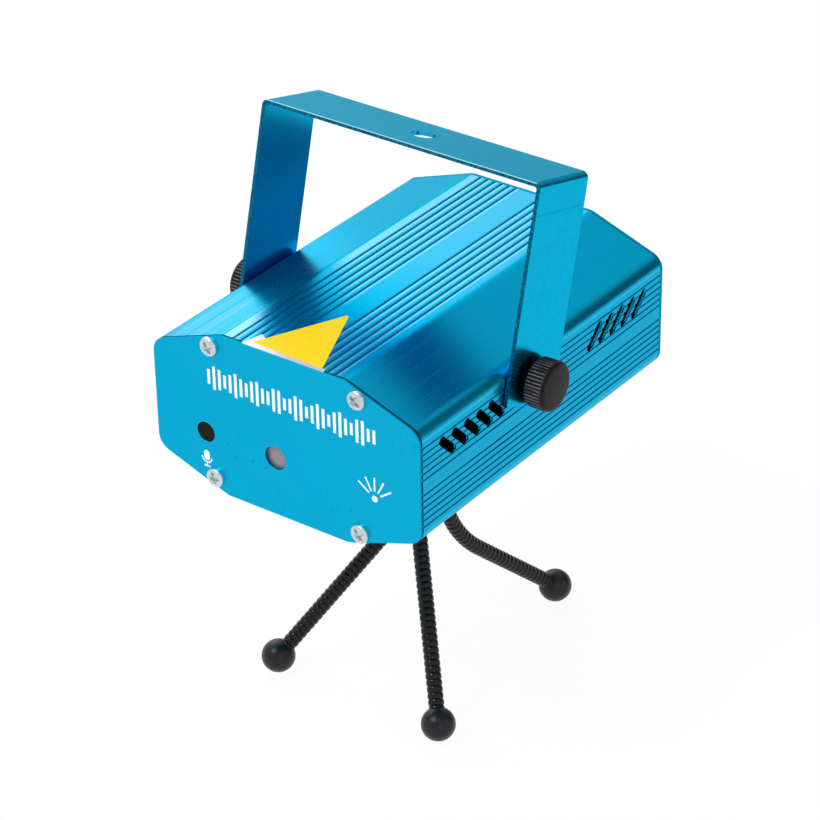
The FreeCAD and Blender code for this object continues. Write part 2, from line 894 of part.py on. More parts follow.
tripod_nut = nut("tripod_nut", s.tripod_nut_flats, s.tripod_nut_thick, s.tripod_stud_radius + s.snug_gap)
place(tripod_nut, 0, s.tripod_y, -inner_z)
stud_top = s.tripod_nut_thick - inner_z
stud_base = hub_top - s.tripod_stud_depth
rod("tripod_stud", s.tripod_stud_radius, stud_top - stud_base, 0, s.tripod_y, stud_base)

lock_wheel = tube("lock_wheel", s.wheel_radius, s.tripod_stud_radius + s.running_gap, s.wheel_thick)
knurl(lock_wheel, s.wheel_radius, 0, s.wheel_thick)
place(lock_wheel, 0, s.tripod_y, wheel_base)

hub_bore = s.tripod_stud_radius + s.snug_gap
tripod_hub = turned("tripod_hub", [
    (0, 0),
    (s.hub_radius, 0),
    (s.hub_radius, s.hub_height - s.hub_taper),
    (s.hub_top_radius, s.hub_height),
    (hub_bore, s.hub_height),
    (hub_bore, s.hub_height - s.tripod_stud_depth),
    (0, s.hub_height - s.tripod_stud_depth),
])
socket = new_sketch(tripod_hub, "XY_Plane")
circle(socket, 0, -s.socket_ring, socket_radius)
sockets = pocket(tripod_hub, socket, s.socket_depth, reverse=True)
LEGS = ("right", "rear", "left")
polar(tripod_hub, sockets, "Z_Axis", len(LEGS))
place(tripod_hub, 0, s.tripod_y, hub_base)

# Shares of one rib's pitch and which of the two radii the tube has there.
RIB_SHARES = ((0.0, "valley"), (0.2, "crest"), (0.65, "crest"), (0.85, "valley"))
DOWN = FreeCAD.Vector(0, 0, -1)
ACROSS = FreeCAD.Vector(0, 1, 0)


def leg(name, spread):
    """Ribbed gooseneck: straight down from its socket, one bend outwards, then straight into its foot."""
    straight = getattr(s, f"{name}_leg_straight").number
    bend = getattr(s, f"{name}_leg_bend").number
    slope = math.radians(getattr(s, f"{name}_leg_slope").number)
    turn = getattr(s, f"{name}_leg_turn").number
    swing = math.pi / 2 - slope
    drop = (hub_base + s.socket_depth + s.stand_height - s.foot_radius).number
    run = (drop - straight - bend * math.sin(swing)) / math.sin(slope)
    length = straight + bend * swing + run - s.foot_seat.number

    def station(distance):
        """Point on the leg's middle line and the angle it has turned outwards there."""
        angle = min(max((distance - straight) / bend, 0), swing)
        beyond = max(distance - straight - bend * swing, 0)
        x = bend * (1 - math.cos(angle)) + beyond * math.sin(angle)
        z = -min(distance, straight) - bend * math.sin(angle) - beyond * math.cos(angle)
        return FreeCAD.Vector(x, 0, z), angle

    def ring(distance, radius):
        point, angle = station(distance)
        wire = Part.Wire(Part.makeCircle(radius))
        wire.Placement = FreeCAD.Placement(point, FreeCAD.Rotation(ACROSS, -math.degrees(angle)))
        return wire

    radii = {"valley": s.leg_valley_radius.number, "crest": s.leg_radius.number}
    count = round(length / s.rib_pitch.number)
    pitch = length / count
    rings = []
    for number in range(count):
        for share, kind in RIB_SHARES:
            rings.append(ring((number + share) * pitch, radii[kind]))
    rings.append(ring(length, radii["valley"]))
    ribbed = Part.makeLoft(rings, True, True)

    overrun = s.cut_overrun.number
    bend_start, _ = station(straight)
    bend_middle, _ = station(straight + bend * swing / 2)
    bend_end, _ = station(straight + bend * swing)
    tip, _ = station(length)
    way = FreeCAD.Vector(math.sin(swing), 0, -math.cos(swing))
    path = Part.Wire([
        Part.LineSegment(DOWN * -overrun, bend_start).toShape(),
        Part.Arc(bend_start, bend_middle, bend_end).toShape(),
        Part.LineSegment(bend_end, tip + way * overrun).toShape(),
    ])
    bore = path.makePipe(Part.Wire(Part.makeCircle(s.leg_bore_radius.number, DOWN * -overrun)))
    print(f"{name}_leg: length {length:.1f}, {count} ribs, bend radius {bend:.1f}")

    bearing = FreeCAD.Rotation(FreeCAD.Vector(0, 0, 1), turn)
    socket_way = FreeCAD.Rotation(FreeCAD.Vector(0, 0, 1), spread)
    start = socket_way.multVec(FreeCAD.Vector(0, -s.socket_ring.number, 0))
    level = (hub_base + s.socket_depth + case_z).number
    start += FreeCAD.Vector(0, (s.tripod_y + case_y).number, level)
    gooseneck = keep(doc.addObject("Part::Feature", f"{name}_leg"), f"{name}_leg")
    gooseneck.Shape = ribbed.cut(Part.Solid(bore) if bore.ShapeType == "Shell" else bore)
    gooseneck.Placement = FreeCAD.Placement(start, bearing)

    ball = doc.addObject("Part::Sphere", f"{name}_ball")
    bind(ball, "Radius", s.foot_radius)
    seat = doc.addObject("Part::Cylinder", f"{name}_seat")
    bind(seat, "Radius", s.leg_radius + s.running_gap)
    bind(seat, "Height", s.foot_radius)
    bind(seat, "Placement.Base.z", s.foot_seat)
    foot = keep(doc.addObject("Part::Cut", f"{name}_foot"), f"{name}_foot")
    foot.Base = ball
    foot.Tool = seat
    centre, angle = station(length + s.foot_seat.number)
    facing = FreeCAD.Rotation(ACROSS, -math.degrees(angle))
    foot.Placement = FreeCAD.Placement(start + bearing.multVec(centre), bearing.multiply(facing))


for number, name in enumerate(LEGS):
    leg(name, 360 / len(LEGS) * number)

# Microphone and laser window behind the front plate

rod("mic_capsule", s.mic_radius, s.mic_length, mic_x, s.mic_recess - half_length, s.mic_z, "rear")
mic_sleeve = tube("mic_sleeve", s.sleeve_radius, s.mic_radius + s.snug_gap, s.sleeve_length)
place(mic_sleeve, mic_x, front_inside, s.mic_z, "rear")
rod("aperture_window", s.window_radius, s.window_thick, s.aperture_x, front_inside, s.aperture_z, "rear")
window_seat = s.window_radius + s.snug_gap
window_holder = turned("window_holder", [
    (window_seat, 0),
    (s.holder_radius, 0),
    (s.holder_radius, s.holder_length),
    (s.aperture_radius, s.holder_length),
    (s.aperture_radius, s.window_thick),
    (window_seat, s.window_thick),
])
place(window_holder, s.aperture_x, front_inside, s.aperture_z, "rear")

# Pattern wheel in the beam, on its motor

wheel_x = s.aperture_x + s.wheel_offset
hub_rear = front_inside + s.grating_setback + s.grating_thick + s.grating_hub_length
bracket_front = hub_rear + s.grating_gap
motor_face = bracket_front + s.bracket_thick
wheel_bore = s.shaft_radius + s.snug_gap
disc_face = s.grating_hub_length + s.grating_thick
grating_wheel = turned("grating_wheel", [
    (wheel_bore, 0),
    (s.grating_hub_radius, 0),
    (s.grating_hub_radius, s.grating_hub_length),
    (s.grating_radius, s.grating_hub_length),
    (s.grating_radius, disc_face),
    (wheel_bore, disc_face),
])
place(grating_wheel, wheel_x, hub_rear, s.aperture_z, "front")
shaft_length = s.shaft_bury + s.bracket_thick + s.grating_gap + disc_face
rod("wheel_shaft", s.shaft_radius, shaft_length, wheel_x, motor_face + s.shaft_bury, s.aperture_z, "front")
motor_bore = s.shaft_radius + s.running_gap
wheel_motor = turned("wheel_motor", [
    (motor_bore, s.motor_nose_length),
    (s.motor_nose_radius, s.motor_nose_length),
    (s.motor_nose_radius, 0),
    (s.motor_radius, 0),
    (s.motor_radius, -s.motor_length),
    (0, -s.motor_length),
    (0, -s.shaft_bury - s.face_gap),
    (motor_bore, -s.shaft_bury - s.face_gap),
])
place(wheel_motor, wheel_x, motor_face, s.aperture_z, "front")

motor_bracket = new_body("motor_bracket")
angle_iron = new_sketch(motor_bracket, "YZ_Plane")
floor_drop = inner_z + s.aperture_z
bracket_top = s.motor_radius + s.bracket_margin
polygon(angle_iron, [
    (0, -floor_drop),
    (s.bracket_foot, -floor_drop),
    (s.bracket_foot, s.bracket_thick - floor_drop),
    (s.bracket_thick, s.bracket_thick - floor_drop),
    (s.bracket_thick, bracket_top),
    (0, bracket_top),
])
pad(motor_bracket, angle_iron, s.bracket_width, both=True)
nose_hole = new_sketch(motor_bracket, "XZ_Plane")
circle(nose_hole, 0, 0, s.motor_nose_radius + s.snug_gap)
pocket(motor_bracket, nose_hole)
place(motor_bracket, wheel_x, bracket_front, s.aperture_z)

# Two lasers, their beams joined by a slanted mirror

combiner_y = front_inside + s.combiner_setback
green_face = combiner_y + s.combiner_reach
red_face = s.aperture_x - s.combiner_reach
board_end = rear_inside - s.fan_depth - s.fan_nut_thick - s.board_fan_gap
shared_run = board_end - green_face - s.board_laser_gap


def laser(name, length):
    return turned(name, [
        (0, -length),
        (s.laser_radius, -length),
        (s.laser_radius, 0),
        (s.laser_lens_radius, 0),
        (s.laser_lens_radius, -s.laser_lens_depth),
        (0, -s.laser_lens_depth),
    ])


def laser_block(name, length):
    """Block with a bore along its own y, which starts at its front face, at the beam's height."""
    body = new_body(name)
    sketch = new_sketch(body, "XZ_Plane")
    half_block = s.laser_block_width / 2
    rectangle(sketch, -half_block, half_block, -floor_drop, s.laser_radius + s.laser_block_cap)
    circle(sketch, 0, 0, s.laser_radius + s.snug_gap)
    pad(body, sketch, length, reverse=True)
    return body


green_laser_length = shared_run * s.green_laser_share
place(laser("green_laser", green_laser_length), s.aperture_x, green_face, s.aperture_z, "front")
place(laser("red_laser", inner_x + red_face - s.red_laser_gap), red_face, combiner_y, s.aperture_z, "right")
green_block = laser_block("green_block", green_laser_length * s.green_block_share)
place(green_block, s.aperture_x, green_face + s.laser_overhang, s.aperture_z)
red_block = laser_block("red_block", s.red_block_length)
place(red_block, red_face - s.laser_overhang, combiner_y, s.aperture_z, "aside")

combiner_mirror = new_body("combiner_mirror")
glass = new_sketch(combiner_mirror, "XY_Plane", -s.mirror_height / 2)
rectangle(glass, -s.mirror_width / 2, s.mirror_width / 2, -s.mirror_thick / 2, s.mirror_thick / 2)
pad(combiner_mirror, glass, s.mirror_height)
place(combiner_mirror, s.aperture_x, combiner_y, s.aperture_z, "askew")
mirror_post = new_body("mirror_post")
post = new_sketch(mirror_post, "XY_Plane", -floor_drop)
rectangle(post, -s.post_width / 2, s.post_width / 2, -s.post_depth / 2, s.post_depth / 2)
pad(mirror_post, post, floor_drop - s.mirror_height / 2 + s.mirror_seat)
groove = new_sketch(mirror_post, "YZ_Plane")
half_groove = s.mirror_thick / 2 + s.snug_gap
rectangle(groove, -half_groove, half_groove, -s.mirror_height / 2, s.mirror_height / 2)
pocket(mirror_post, groove)
place(mirror_post, s.aperture_x, combiner_y, s.aperture_z, "askew")

# Control board

board_length = shared_run * s.board_share
board_start = board_end - board_length
board_y = board_start + board_length / 2
board_z = s.standoff_height - inner_z
board_top = board_z + s.board_thick
hole_x = s.board_width / 2 - s.board_hole_inset
hole_y = board_length / 2 - s.board_hole_inset
board_corners = [(x, y) for x in (-hole_x, hole_x) for y in (-hole_y, hole_y)]

main_board = new_body("main_board")
outline = new_sketch(main_board, "XY_Plane")
rectangle(outline, -s.board_width / 2, s.board_width / 2, -board_length / 2, board_length / 2)
for x, y in board_corners:
    circle(outline, x, y, s.board_screw_radius + s.hole_gap)
pad(main_board, outline, s.board_thick)
place(main_board, 0, board_y, board_z)
board_standoffs = new_body("board_standoffs")
pillars = new_sketch(board_standoffs, "XY_Plane")
for x, y in board_corners:
    circle(pillars, x, y, s.standoff_radius)
    circle(pillars, x, y, s.board_screw_radius + s.snug_gap)
pad(board_standoffs, pillars, s.standoff_height)
place(board_standoffs, 0, board_y, -inner_z)
board_screws = screws(
    "board_screws",
    s.board_screw_radius,
    s.board_screw_length,
    s.board_head_radius,
    s.board_head_height,
    hole_x * 2,
    hole_y * 2,
)
place(board_screws, -hole_x, board_y - hole_y, board_top)
box("driver_chip", s.chip_width, board_length * s.chip_length_share, s.chip_height, 0, board_y, board_top)
board_capacitors = new_body("board_capacitors")
cans = new_sketch(board_capacitors, "XY_Plane")
for sign in (-1, 1):
    circle(cans, s.capacitor_spacing / 2 * sign, 0, s.capacitor_radius)
pad(board_capacitors, cans, s.capacitor_height)
place(board_capacitors, 0, board_y + hole_y - s.capacitor_radius, board_top)
board_connectors = new_body("board_connectors")
sockets = new_sketch(board_connectors, "XY_Plane")
for number in range(SIZES["connector_count"]):
    middle = s.connector_pitch * (number - (SIZES["connector_count"] - 1) / 2)
    half_connector = s.connector_width / 2
    rectangle(sockets, middle - half_connector, middle + half_connector, 0, s.connector_length)
pad(board_connectors, sockets, s.connector_height)
place(board_connectors, 0, board_start, board_top)

# Fan behind the rear grille

fan_face = rear_inside - s.fan_depth
fan_frame = new_body("fan_frame")
square = new_sketch(fan_frame, "XY_Plane")
rectangle(square, -s.fan_size / 2, s.fan_size / 2, -s.fan_size / 2, s.fan_size / 2)
circle(square, 0, 0, s.fan_bore_radius)
fan_corners = [(x, y) for x in (-half_fan_pitch, half_fan_pitch) for y in (-half_fan_pitch, half_fan_pitch)]
for x, y in fan_corners:
    circle(square, x, y, s.screw_radius + s.hole_gap)
pad(fan_frame, square, s.fan_depth)
spoke = new_sketch(fan_frame, "XY_Plane")
spoke_end = (s.fan_bore_radius + s.fan_size / 2) / 2
rectangle(spoke, 0, spoke_end, -s.fan_strut / 2, s.fan_strut / 2)
polar(fan_frame, pad(fan_frame, spoke, s.fan_web), "Z_Axis", s.fan_strut_count)
disc = new_sketch(fan_frame, "XY_Plane")
circle(disc, 0, 0, s.fan_disc_radius)
pad(fan_frame, disc, s.fan_web)
post = new_sketch(fan_frame, "XY_Plane")
circle(post, 0, 0, s.fan_post_radius)
pad(fan_frame, post, s.fan_web + s.fan_post_length)
place(fan_frame, 0, fan_face, 0, "rear")

rotor_bore = s.fan_post_radius + s.running_gap
fan_rotor = turned("fan_rotor", [
    (rotor_bore, 0),
    (s.rotor_hub_radius, 0),
    (s.rotor_hub_radius, s.rotor_length),
    (0, s.rotor_length),
    (0, s.fan_post_length),
    (rotor_bore, s.fan_post_length),
])
blade = new_sketch(fan_rotor, "YZ_Plane", s.rotor_hub_radius - s.blade_root)
half_blade = s.blade_thick / 2
polygon(blade, [
    (-s.blade_sweep - half_blade, 0),
    (half_blade - s.blade_sweep, 0),
    (s.blade_sweep + half_blade, s.rotor_length),
    (s.blade_sweep - half_blade, s.rotor_length),
])
blade_length = s.rotor_tip - s.rotor_hub_radius + s.blade_root
polar(fan_rotor, pad(fan_rotor, blade, blade_length), "Z_Axis", s.blade_count)
place(fan_rotor, 0, fan_face + s.fan_web + s.rotor_gap, 0, "rear")

fan_screws = screws(
    "fan_screws",
    s.screw_radius,
    s.fan_screw_length,
    s.screw_head_radius,
    s.screw_head_height,
    s.fan_hole_pitch,
    s.fan_hole_pitch,
)
place(fan_screws, -half_fan_pitch, half_length, half_fan_pitch, "rear")
fan_nuts = new_body("fan_nuts")
rings = new_sketch(fan_nuts, "XY_Plane")
for x, y in fan_corners:
    hexagon(rings, s.fan_nut_flats, x, y)
    circle(rings, x, y, s.screw_radius + s.snug_gap)
pad(fan_nuts, rings, s.fan_nut_thick)
place(fan_nuts, 0, fan_face - s.fan_nut_thick, 0, "rear")

# Power switch: housing with a well, and a rocker on side pins

power_switch = new_body("power_switch")
bezel = new_sketch(power_switch, "XY_Plane")
half_bezel = s.rocker_bezel_width / 2
half_bezel_height = s.rocker_bezel_height / 2
rectangle(bezel, -half_bezel, half_bezel, -half_bezel_height, half_bezel_height)
pad(power_switch, bezel, s.rocker_bezel_thick)
housing = new_sketch(power_switch, "XY_Plane")
half_box = s.rocker_box_width / 2
half_box_height = s.rocker_box_height / 2
rectangle(housing, -half_box, half_box, -half_box_height, half_box_height)
pad(power_switch, housing, s.rocker_box_depth, reverse=True)
well = new_sketch(power_switch, "XY_Plane", s.rocker_bezel_thick)
half_well = s.rocker_well_width / 2
half_well_height = s.rocker_well_height / 2
rectangle(well, -half_well, half_well, -half_well_height, half_well_height)
pocket(power_switch, well, s.rocker_well_depth)
rocker_pivot = s.rocker_bezel_thick - s.rocker_sink
pin_holes = new_sketch(power_switch, "YZ_Plane")
circle(pin_holes, 0, rocker_pivot, s.rocker_pin_radius + s.running_gap)
pin_span = s.rocker_well_width + s.rocker_pin_reach * 2
pocket(power_switch, pin_holes, pin_span + s.face_gap * 2, both=True)
place(power_switch, control_x, half_length, s.upper_control_z, "rear")

power_rocker = new_body("power_rocker")
paddle = new_sketch(power_rocker, "YZ_Plane")
belly_half = s.rocker_half * s.rocker_belly_share
polygon(paddle, [
    (-s.rocker_half, s.rocker_rise),
    (-s.rocker_half, -s.rocker_chin),
    (-belly_half, -s.rocker_belly),
    (belly_half, -s.rocker_belly),
    (s.rocker_half, -s.rocker_chin),
    (s.rocker_half, s.rocker_rise),
    (0, s.rocker_waist),
])
pad(power_rocker, paddle, s.rocker_well_width - s.rocker_side_gap * 2, both=True)
pin = new_sketch(power_rocker, "YZ_Plane")
circle(pin, 0, 0, s.rocker_pin_radius)
pad(power_rocker, pin, pin_span, both=True)
rest_tilt = FreeCAD.Rotation(AXES["rear"][0], AXES["rear"][1] - s.rocker_throw.number / 2)
power_rocker.Placement = FreeCAD.Placement(FreeCAD.Vector(), rest_tilt)
place(power_rocker, control_x, half_length + rocker_pivot, s.upper_control_z)

# Mode switch: a lever that slides sideways in the rear plate's slot

mode_switch = new_body("mode_switch")
case = new_sketch(mode_switch, "XY_Plane")
half_mode = s.mode_box_width / 2
rectangle(case, -half_mode, half_mode, -s.mode_box_height / 2, s.mode_box_height / 2)
pad(mode_switch, case, s.mode_box_depth, reverse=True)
channel = new_sketch(mode_switch, "XY_Plane")
half_channel = s.mode_channel_width / 2
rectangle(channel, -half_channel, half_channel, -s.mode_channel_height / 2, s.mode_channel_height / 2)
pocket(mode_switch, channel, s.mode_channel_depth)
place(mode_switch, -control_x, rear_inside, s.lower_control_z, "rear")

mode_slider = new_body("mode_slider")
slider_base = s.face_gap - s.mode_channel_depth
carriage = new_sketch(mode_slider, "XY_Plane", slider_base)
half_base = s.mode_base / 2
half_base_height = s.mode_channel_height / 2 - s.mode_margin
rectangle(carriage, -half_base, half_base, -half_base_height, half_base_height)
pad(mode_slider, carriage, s.mode_base_thick)
stem = new_sketch(mode_slider, "XY_Plane", slider_base)
half_stem = s.mode_stem / 2
rectangle(stem, -half_stem, half_stem, -half_stem, half_stem)
pad(mode_slider, stem, s.plate_thick + s.mode_stem_reach - slider_base)
place(mode_slider, -control_x - s.mode_travel / 2, rear_inside, s.lower_control_z, "rear")

# Speed control: potentiometer, its shaft and nut, and the knob

speed_pot = new_body("speed_pot")
half_pot = s.pot_width / 2
can = new_sketch(speed_pot, "XY_Plane")
rectangle(can, -half_pot, half_pot, -half_pot, half_pot)
pad(speed_pot, can, s.pot_depth, reverse=True)
bush = new_sketch(speed_pot, "XY_Plane")
circle(bush, 0, 0, s.pot_bush_radius)
pad(speed_pot, bush, s.pot_bush_length)
bore = new_sketch(speed_pot, "XY_Plane", s.pot_bush_length)
circle(bore, 0, 0, s.pot_shaft_radius + s.running_gap)
pocket(speed_pot, bore, s.pot_bush_length + s.pot_bury + s.face_gap)
place(speed_pot, -control_x, rear_inside, s.upper_control_z, "rear")
pot_nut = nut("pot_nut", s.pot_nut_flats, s.pot_nut_thick, s.pot_bush_radius + s.snug_gap)
place(pot_nut, -control_x, half_length, s.upper_control_z, "rear")
knob_bore_end = s.speed_knob_length - s.speed_knob_top
shaft_start = rear_inside - s.pot_bury
pot_shaft_length = speed_knob_face + knob_bore_end - shaft_start
rod("pot_shaft", s.pot_shaft_radius, pot_shaft_length, -control_x, shaft_start, s.upper_control_z, "rear")
knob_bore = s.pot_shaft_radius + s.snug_gap
speed_knob = turned("speed_knob", [
    (knob_bore, 0),
    (s.speed_knob_radius, 0),
    (s.speed_knob_radius, s.speed_knob_length),
    (0, s.speed_knob_length),
    (0, knob_bore_end),
    (knob_bore, knob_bore_end),
])
knurl(speed_knob, s.speed_knob_radius, 0, s.speed_knob_length)
pointer = new_sketch(speed_knob, "XY_Plane", s.speed_knob_length)
rectangle(pointer, -s.pointer_width / 2, s.pointer_width / 2, -s.speed_knob_radius - s.cut_overrun, 0)
pocket(speed_knob, pointer, s.pointer_depth)
place(speed_knob, -control_x, speed_knob_face, s.upper_control_z, "rear")

# Supply inlet

hole_end = s.jack_flange_thick - s.jack_hole_depth
jack_body = turned("jack_body", [
    (0, -s.jack_depth),
    (s.jack_radius, -s.jack_depth),
    (s.jack_radius, 0),
    (s.jack_flange_radius, 0),
    (s.jack_flange_radius, s.jack_flange_thick),
    (s.jack_hole_radius, s.jack_flange_thick),
    (s.jack_hole_radius, hole_end),
    (0, hole_end),
])
place(jack_body, control_x, half_length, s.lower_control_z, "rear")
pin_length = s.jack_hole_depth - s.jack_pin_recess
rod("jack_pin", s.jack_pin_radius, pin_length, control_x, half_length + hole_end, s.lower_control_z, "rear")
jack_nut = nut("jack_nut", s.jack_nut_flats, s.jack_nut_thick, s.jack_radius + s.snug_gap)
place(jack_nut, control_x, rear_inside - s.jack_nut_thick, s.lower_control_z, "rear")

# Every piece is checked before any file is written

doc.recompute()
faults = []
for item in doc.Objects:
    if "Invalid" in item.State or "Error" in item.State:
        faults.append(f"{item.Label}: {item.State}")
for item in PARTS:
    if item.Shape.isNull() or not item.Shape.isValid() or not item.Shape.Solids:
        faults.append(f"{item.Label}: no valid solid")
if faults:
    raise RuntimeError("; ".join(faults))
os.makedirs("parts", exist_ok=True)
for item in PARTS:
    item.Shape.exportStep(f"parts/{item.Label}.step")
print(f"{len(PARTS)} pieces written")
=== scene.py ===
import bmesh
import bpy
import math
from mathutils import Matrix, Vector


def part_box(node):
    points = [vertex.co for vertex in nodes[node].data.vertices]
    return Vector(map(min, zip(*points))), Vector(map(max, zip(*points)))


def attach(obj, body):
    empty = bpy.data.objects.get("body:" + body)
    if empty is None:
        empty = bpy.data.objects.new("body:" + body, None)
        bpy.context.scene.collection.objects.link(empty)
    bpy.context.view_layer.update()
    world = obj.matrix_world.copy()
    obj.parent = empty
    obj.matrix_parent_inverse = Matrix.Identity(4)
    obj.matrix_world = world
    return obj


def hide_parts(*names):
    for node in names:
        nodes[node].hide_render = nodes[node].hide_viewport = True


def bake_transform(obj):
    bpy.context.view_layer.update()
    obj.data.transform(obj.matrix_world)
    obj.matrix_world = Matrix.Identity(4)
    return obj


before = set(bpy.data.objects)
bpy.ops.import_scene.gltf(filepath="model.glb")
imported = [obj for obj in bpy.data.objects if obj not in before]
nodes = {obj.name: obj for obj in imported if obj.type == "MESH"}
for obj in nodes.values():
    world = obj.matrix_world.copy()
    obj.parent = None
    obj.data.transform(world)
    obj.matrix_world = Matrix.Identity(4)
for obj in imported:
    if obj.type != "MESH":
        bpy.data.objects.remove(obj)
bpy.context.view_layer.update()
scene = bpy.context.scene
scene.view_settings.view_transform = "Standard"
mm = 0.001
halfLength, standHeight = 60.0, 107.0  # half the case, and its middle above the floor
caseMiddle = Vector((0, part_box("front_plate")[0][1] + halfLength * mm, standHeight * mm))
print("frame loaded:", len(nodes), "nodes")


class Val:  # a node socket that takes part in plain arithmetic
    def __init__(self, graph, socket):
        self.graph = graph
        self.socket = socket

    def op(self, operation, *others):
        return self.graph.node("ShaderNodeMath", {"operation": operation}, (self,) + others)

    def __add__(self, other): return self.op("ADD", other)
    def __radd__(self, other): return self.op("ADD", other)
    def __sub__(self, other): return self.op("SUBTRACT", other)
    def __rsub__(self, other): return self.graph.node("ShaderNodeMath", {"operation": "SUBTRACT"}, (other, self))
    def __mul__(self, other): return self.op("MULTIPLY", other)
    def __truediv__(self, other): return self.op("DIVIDE", other)
    def __pow__(self, other): return self.op("POWER", other)
    def __neg__(self): return self.op("MULTIPLY", -1.0)

    def above(self, edge, soft):  # 0 below the edge, 1 above it, with a soft step
        limits = (self, edge - soft, edge + soft, 0.0, 1.0)
        return self.graph.node("ShaderNodeMapRange", {"interpolation_type": "SMOOTHSTEP"}, limits)

    def below(self, edge, soft):
        return 1 - self.above(edge, soft)

    def within(self, low, high, soft):
        return self.above(low, soft) * self.below(high, soft)


class Graph:  # one method makes every node: type, settings first, then socket values or links
    def __init__(self, tree):
        self.tree = tree

    def feed(self, socket, value):
        if isinstance(value, Val):
            self.tree.links.new(value.socket, socket)
        else:
            socket.default_value = value

    def node(self, kind, settings=None, inputs=(), pick=0):
        made = self.tree.nodes.new(kind)
        for key, value in (settings or {}).items():
            if key == "stops":
                ramp = made.color_ramp.elements
                while len(ramp) < len(value):
                    ramp.new(1.0)
                for stop, (place, colour) in zip(ramp, value):
                    stop.position = place
                    stop.color = colour
            else:
                setattr(made, key, value)
        pairs = inputs.items() if isinstance(inputs, dict) else enumerate(inputs)
        for key, value in pairs:
            self.feed(made.inputs[key], value)
        if isinstance(pick, tuple):
            return [Val(self, made.outputs[key]) for key in pick]
        return Val(self, made.outputs[pick])

    def split(self, vector):
        return self.node("ShaderNodeSeparateXYZ", inputs=(vector,), pick=(0, 1, 2))


class Finish(Graph):  # a material on one Principled shader
    def __init__(self, name):
        self.material = bpy.data.materials.new(name)
        self.material.use_nodes = True
        super().__init__(self.material.node_tree)
        self.tree.nodes.clear()
        self.output = self.tree.nodes.new("ShaderNodeOutputMaterial")
        self.shader = self.tree.nodes.new("ShaderNodeBsdfPrincipled")
        self.tree.links.new(self.shader.outputs[0], self.output.inputs[0])
        self.place = self.node("ShaderNodeTexCoord", pick="Object")

    def set(self, values):
        for name, value in values.items():
            self.feed(self.shader.inputs[name], value)

    def mapped(self, scale):
        return self.node("ShaderNodeMapping", inputs={"Vector": self.place, "Scale": scale})

    def noise(self, scale, detail, rough=0.55, vector=None):
        values = {"Vector": vector or self.place, "Scale": scale, "Detail": detail, "Roughness": rough}
        return self.node("ShaderNodeTexNoise", inputs=values)

    def drawn(self, scale, detail):  # noise with its own scale along each axis
        return self.noise(1.0, detail, 0.6, self.mapped(scale))

    def millimetres(self, middle):  # place measured from a middle point
        return [(axis - start) / mm for axis, start in zip(self.split(self.place), middle)]

    def mix(self, share, first, second):
        return self.node("ShaderNodeMix", {"data_type": "RGBA"}, {0: share, 6: first, 7: second}, pick=2)

    def bump(self, height, strength, distance):
        return self.node("ShaderNodeBump", inputs={"Height": height, "Strength": strength, "Distance": distance})


class Shape(Graph):  # a geometry tree with named inputs, run once and turned into a plain mesh
    def __init__(self, name, **sizes):
        super().__init__(bpy.data.node_groups.new(name, "GeometryNodeTree"))
        face = self.tree.interface
        face.new_socket("Geometry", in_out="INPUT", socket_type="NodeSocketGeometry")
        self.keys = {}
        for label, value in sizes.items():
            kind = {int: "NodeSocketInt", float: "NodeSocketFloat", type(None): "NodeSocketObject"}
            kind = kind.get(type(value), "NodeSocketMaterial")
            self.keys[label] = face.new_socket(label, in_out="INPUT", socket_type=kind).identifier
        face.new_socket("Geometry", in_out="OUTPUT", socket_type="NodeSocketGeometry")
        self.sizes = sizes
        self.start = self.tree.nodes.new("NodeGroupInput")
        self.finish = self.tree.nodes.new("NodeGroupOutput")

    def get(self, label):
        return Val(self, self.start.outputs[label])

    def close(self, geometry):
        whole = self.node("GeometryNodeRealizeInstances", inputs=(geometry,))
        done = self.node("GeometryNodeSetMaterial", inputs={"Geometry": whole, "Material": self.get("Material")})
        self.tree.links.new(done.socket, self.finish.inputs[0])

    def run(self, name, base, **sizes):
        piece = bpy.data.objects.new(name, base)
        scene.collection.objects.link(piece)
        modifier = piece.modifiers.new("shape", "NODES")
        modifier.node_group = self.tree
        for label, value in {**self.sizes, **sizes}.items():
            modifier[self.keys[label]] = value
        mesh = bpy.data.meshes.new_from_object(piece.evaluated_get(bpy.context.evaluated_depsgraph_get()))
        piece.modifiers.clear()
        piece.data = mesh
        mesh.name = name
        return piece


def lineMesh(name, points):
    mesh = bpy.data.meshes.new(name)
    mesh.from_pydata([Vector(p) for p in points], [(i, i + 1) for i in range(len(points) - 1)], [])
    return mesh


def newPiece(name, mesh, material):
    piece = bpy.data.objects.new(name, mesh)
    scene.collection.objects.link(piece)
    mesh.materials.clear()
    mesh.materials.append(material)
    return piece


def smooth(piece, angle):
    piece.data.shade_smooth()
    piece.data.set_sharp_from_angle(angle=math.radians(angle))


def moved(piece, matrix):  # puts the place into the mesh
    piece.data.transform(matrix)
    piece.data.update()


def standIn(piece, node, body):  # takes the place of a plain node
    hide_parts(node)
    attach(piece, body)


facing = {
    "right": Matrix.Rotation(math.radians(90), 4, "Y"),
    "left": Matrix.Rotation(math.radians(-90), 4, "Y"),
    "front": Matrix.Rotation(math.radians(90), 4, "X"),
    "rear": Matrix.Rotation(math.radians(-90), 4, "X"),
    "up": Matrix.Identity(4),
}


def caseSpot(x, y, z, way="up"):  # a place in the case's own millimetres, own z turned to face the way named
    return Matrix.Translation(caseMiddle + Vector((x, y, z)) * mm) @ facing[way]


# camera fitted to the photograph
cameraView = {
    "azimuth": 36.6465,
    "elevation": 30.9233,
    "roll": -0.9889,
    "distance": 927.65,
    "lens": 141.85,
    "sensor": 36,
    "nearest": 50,
    "across": -1.0302,
    "above": -17.2464,
}


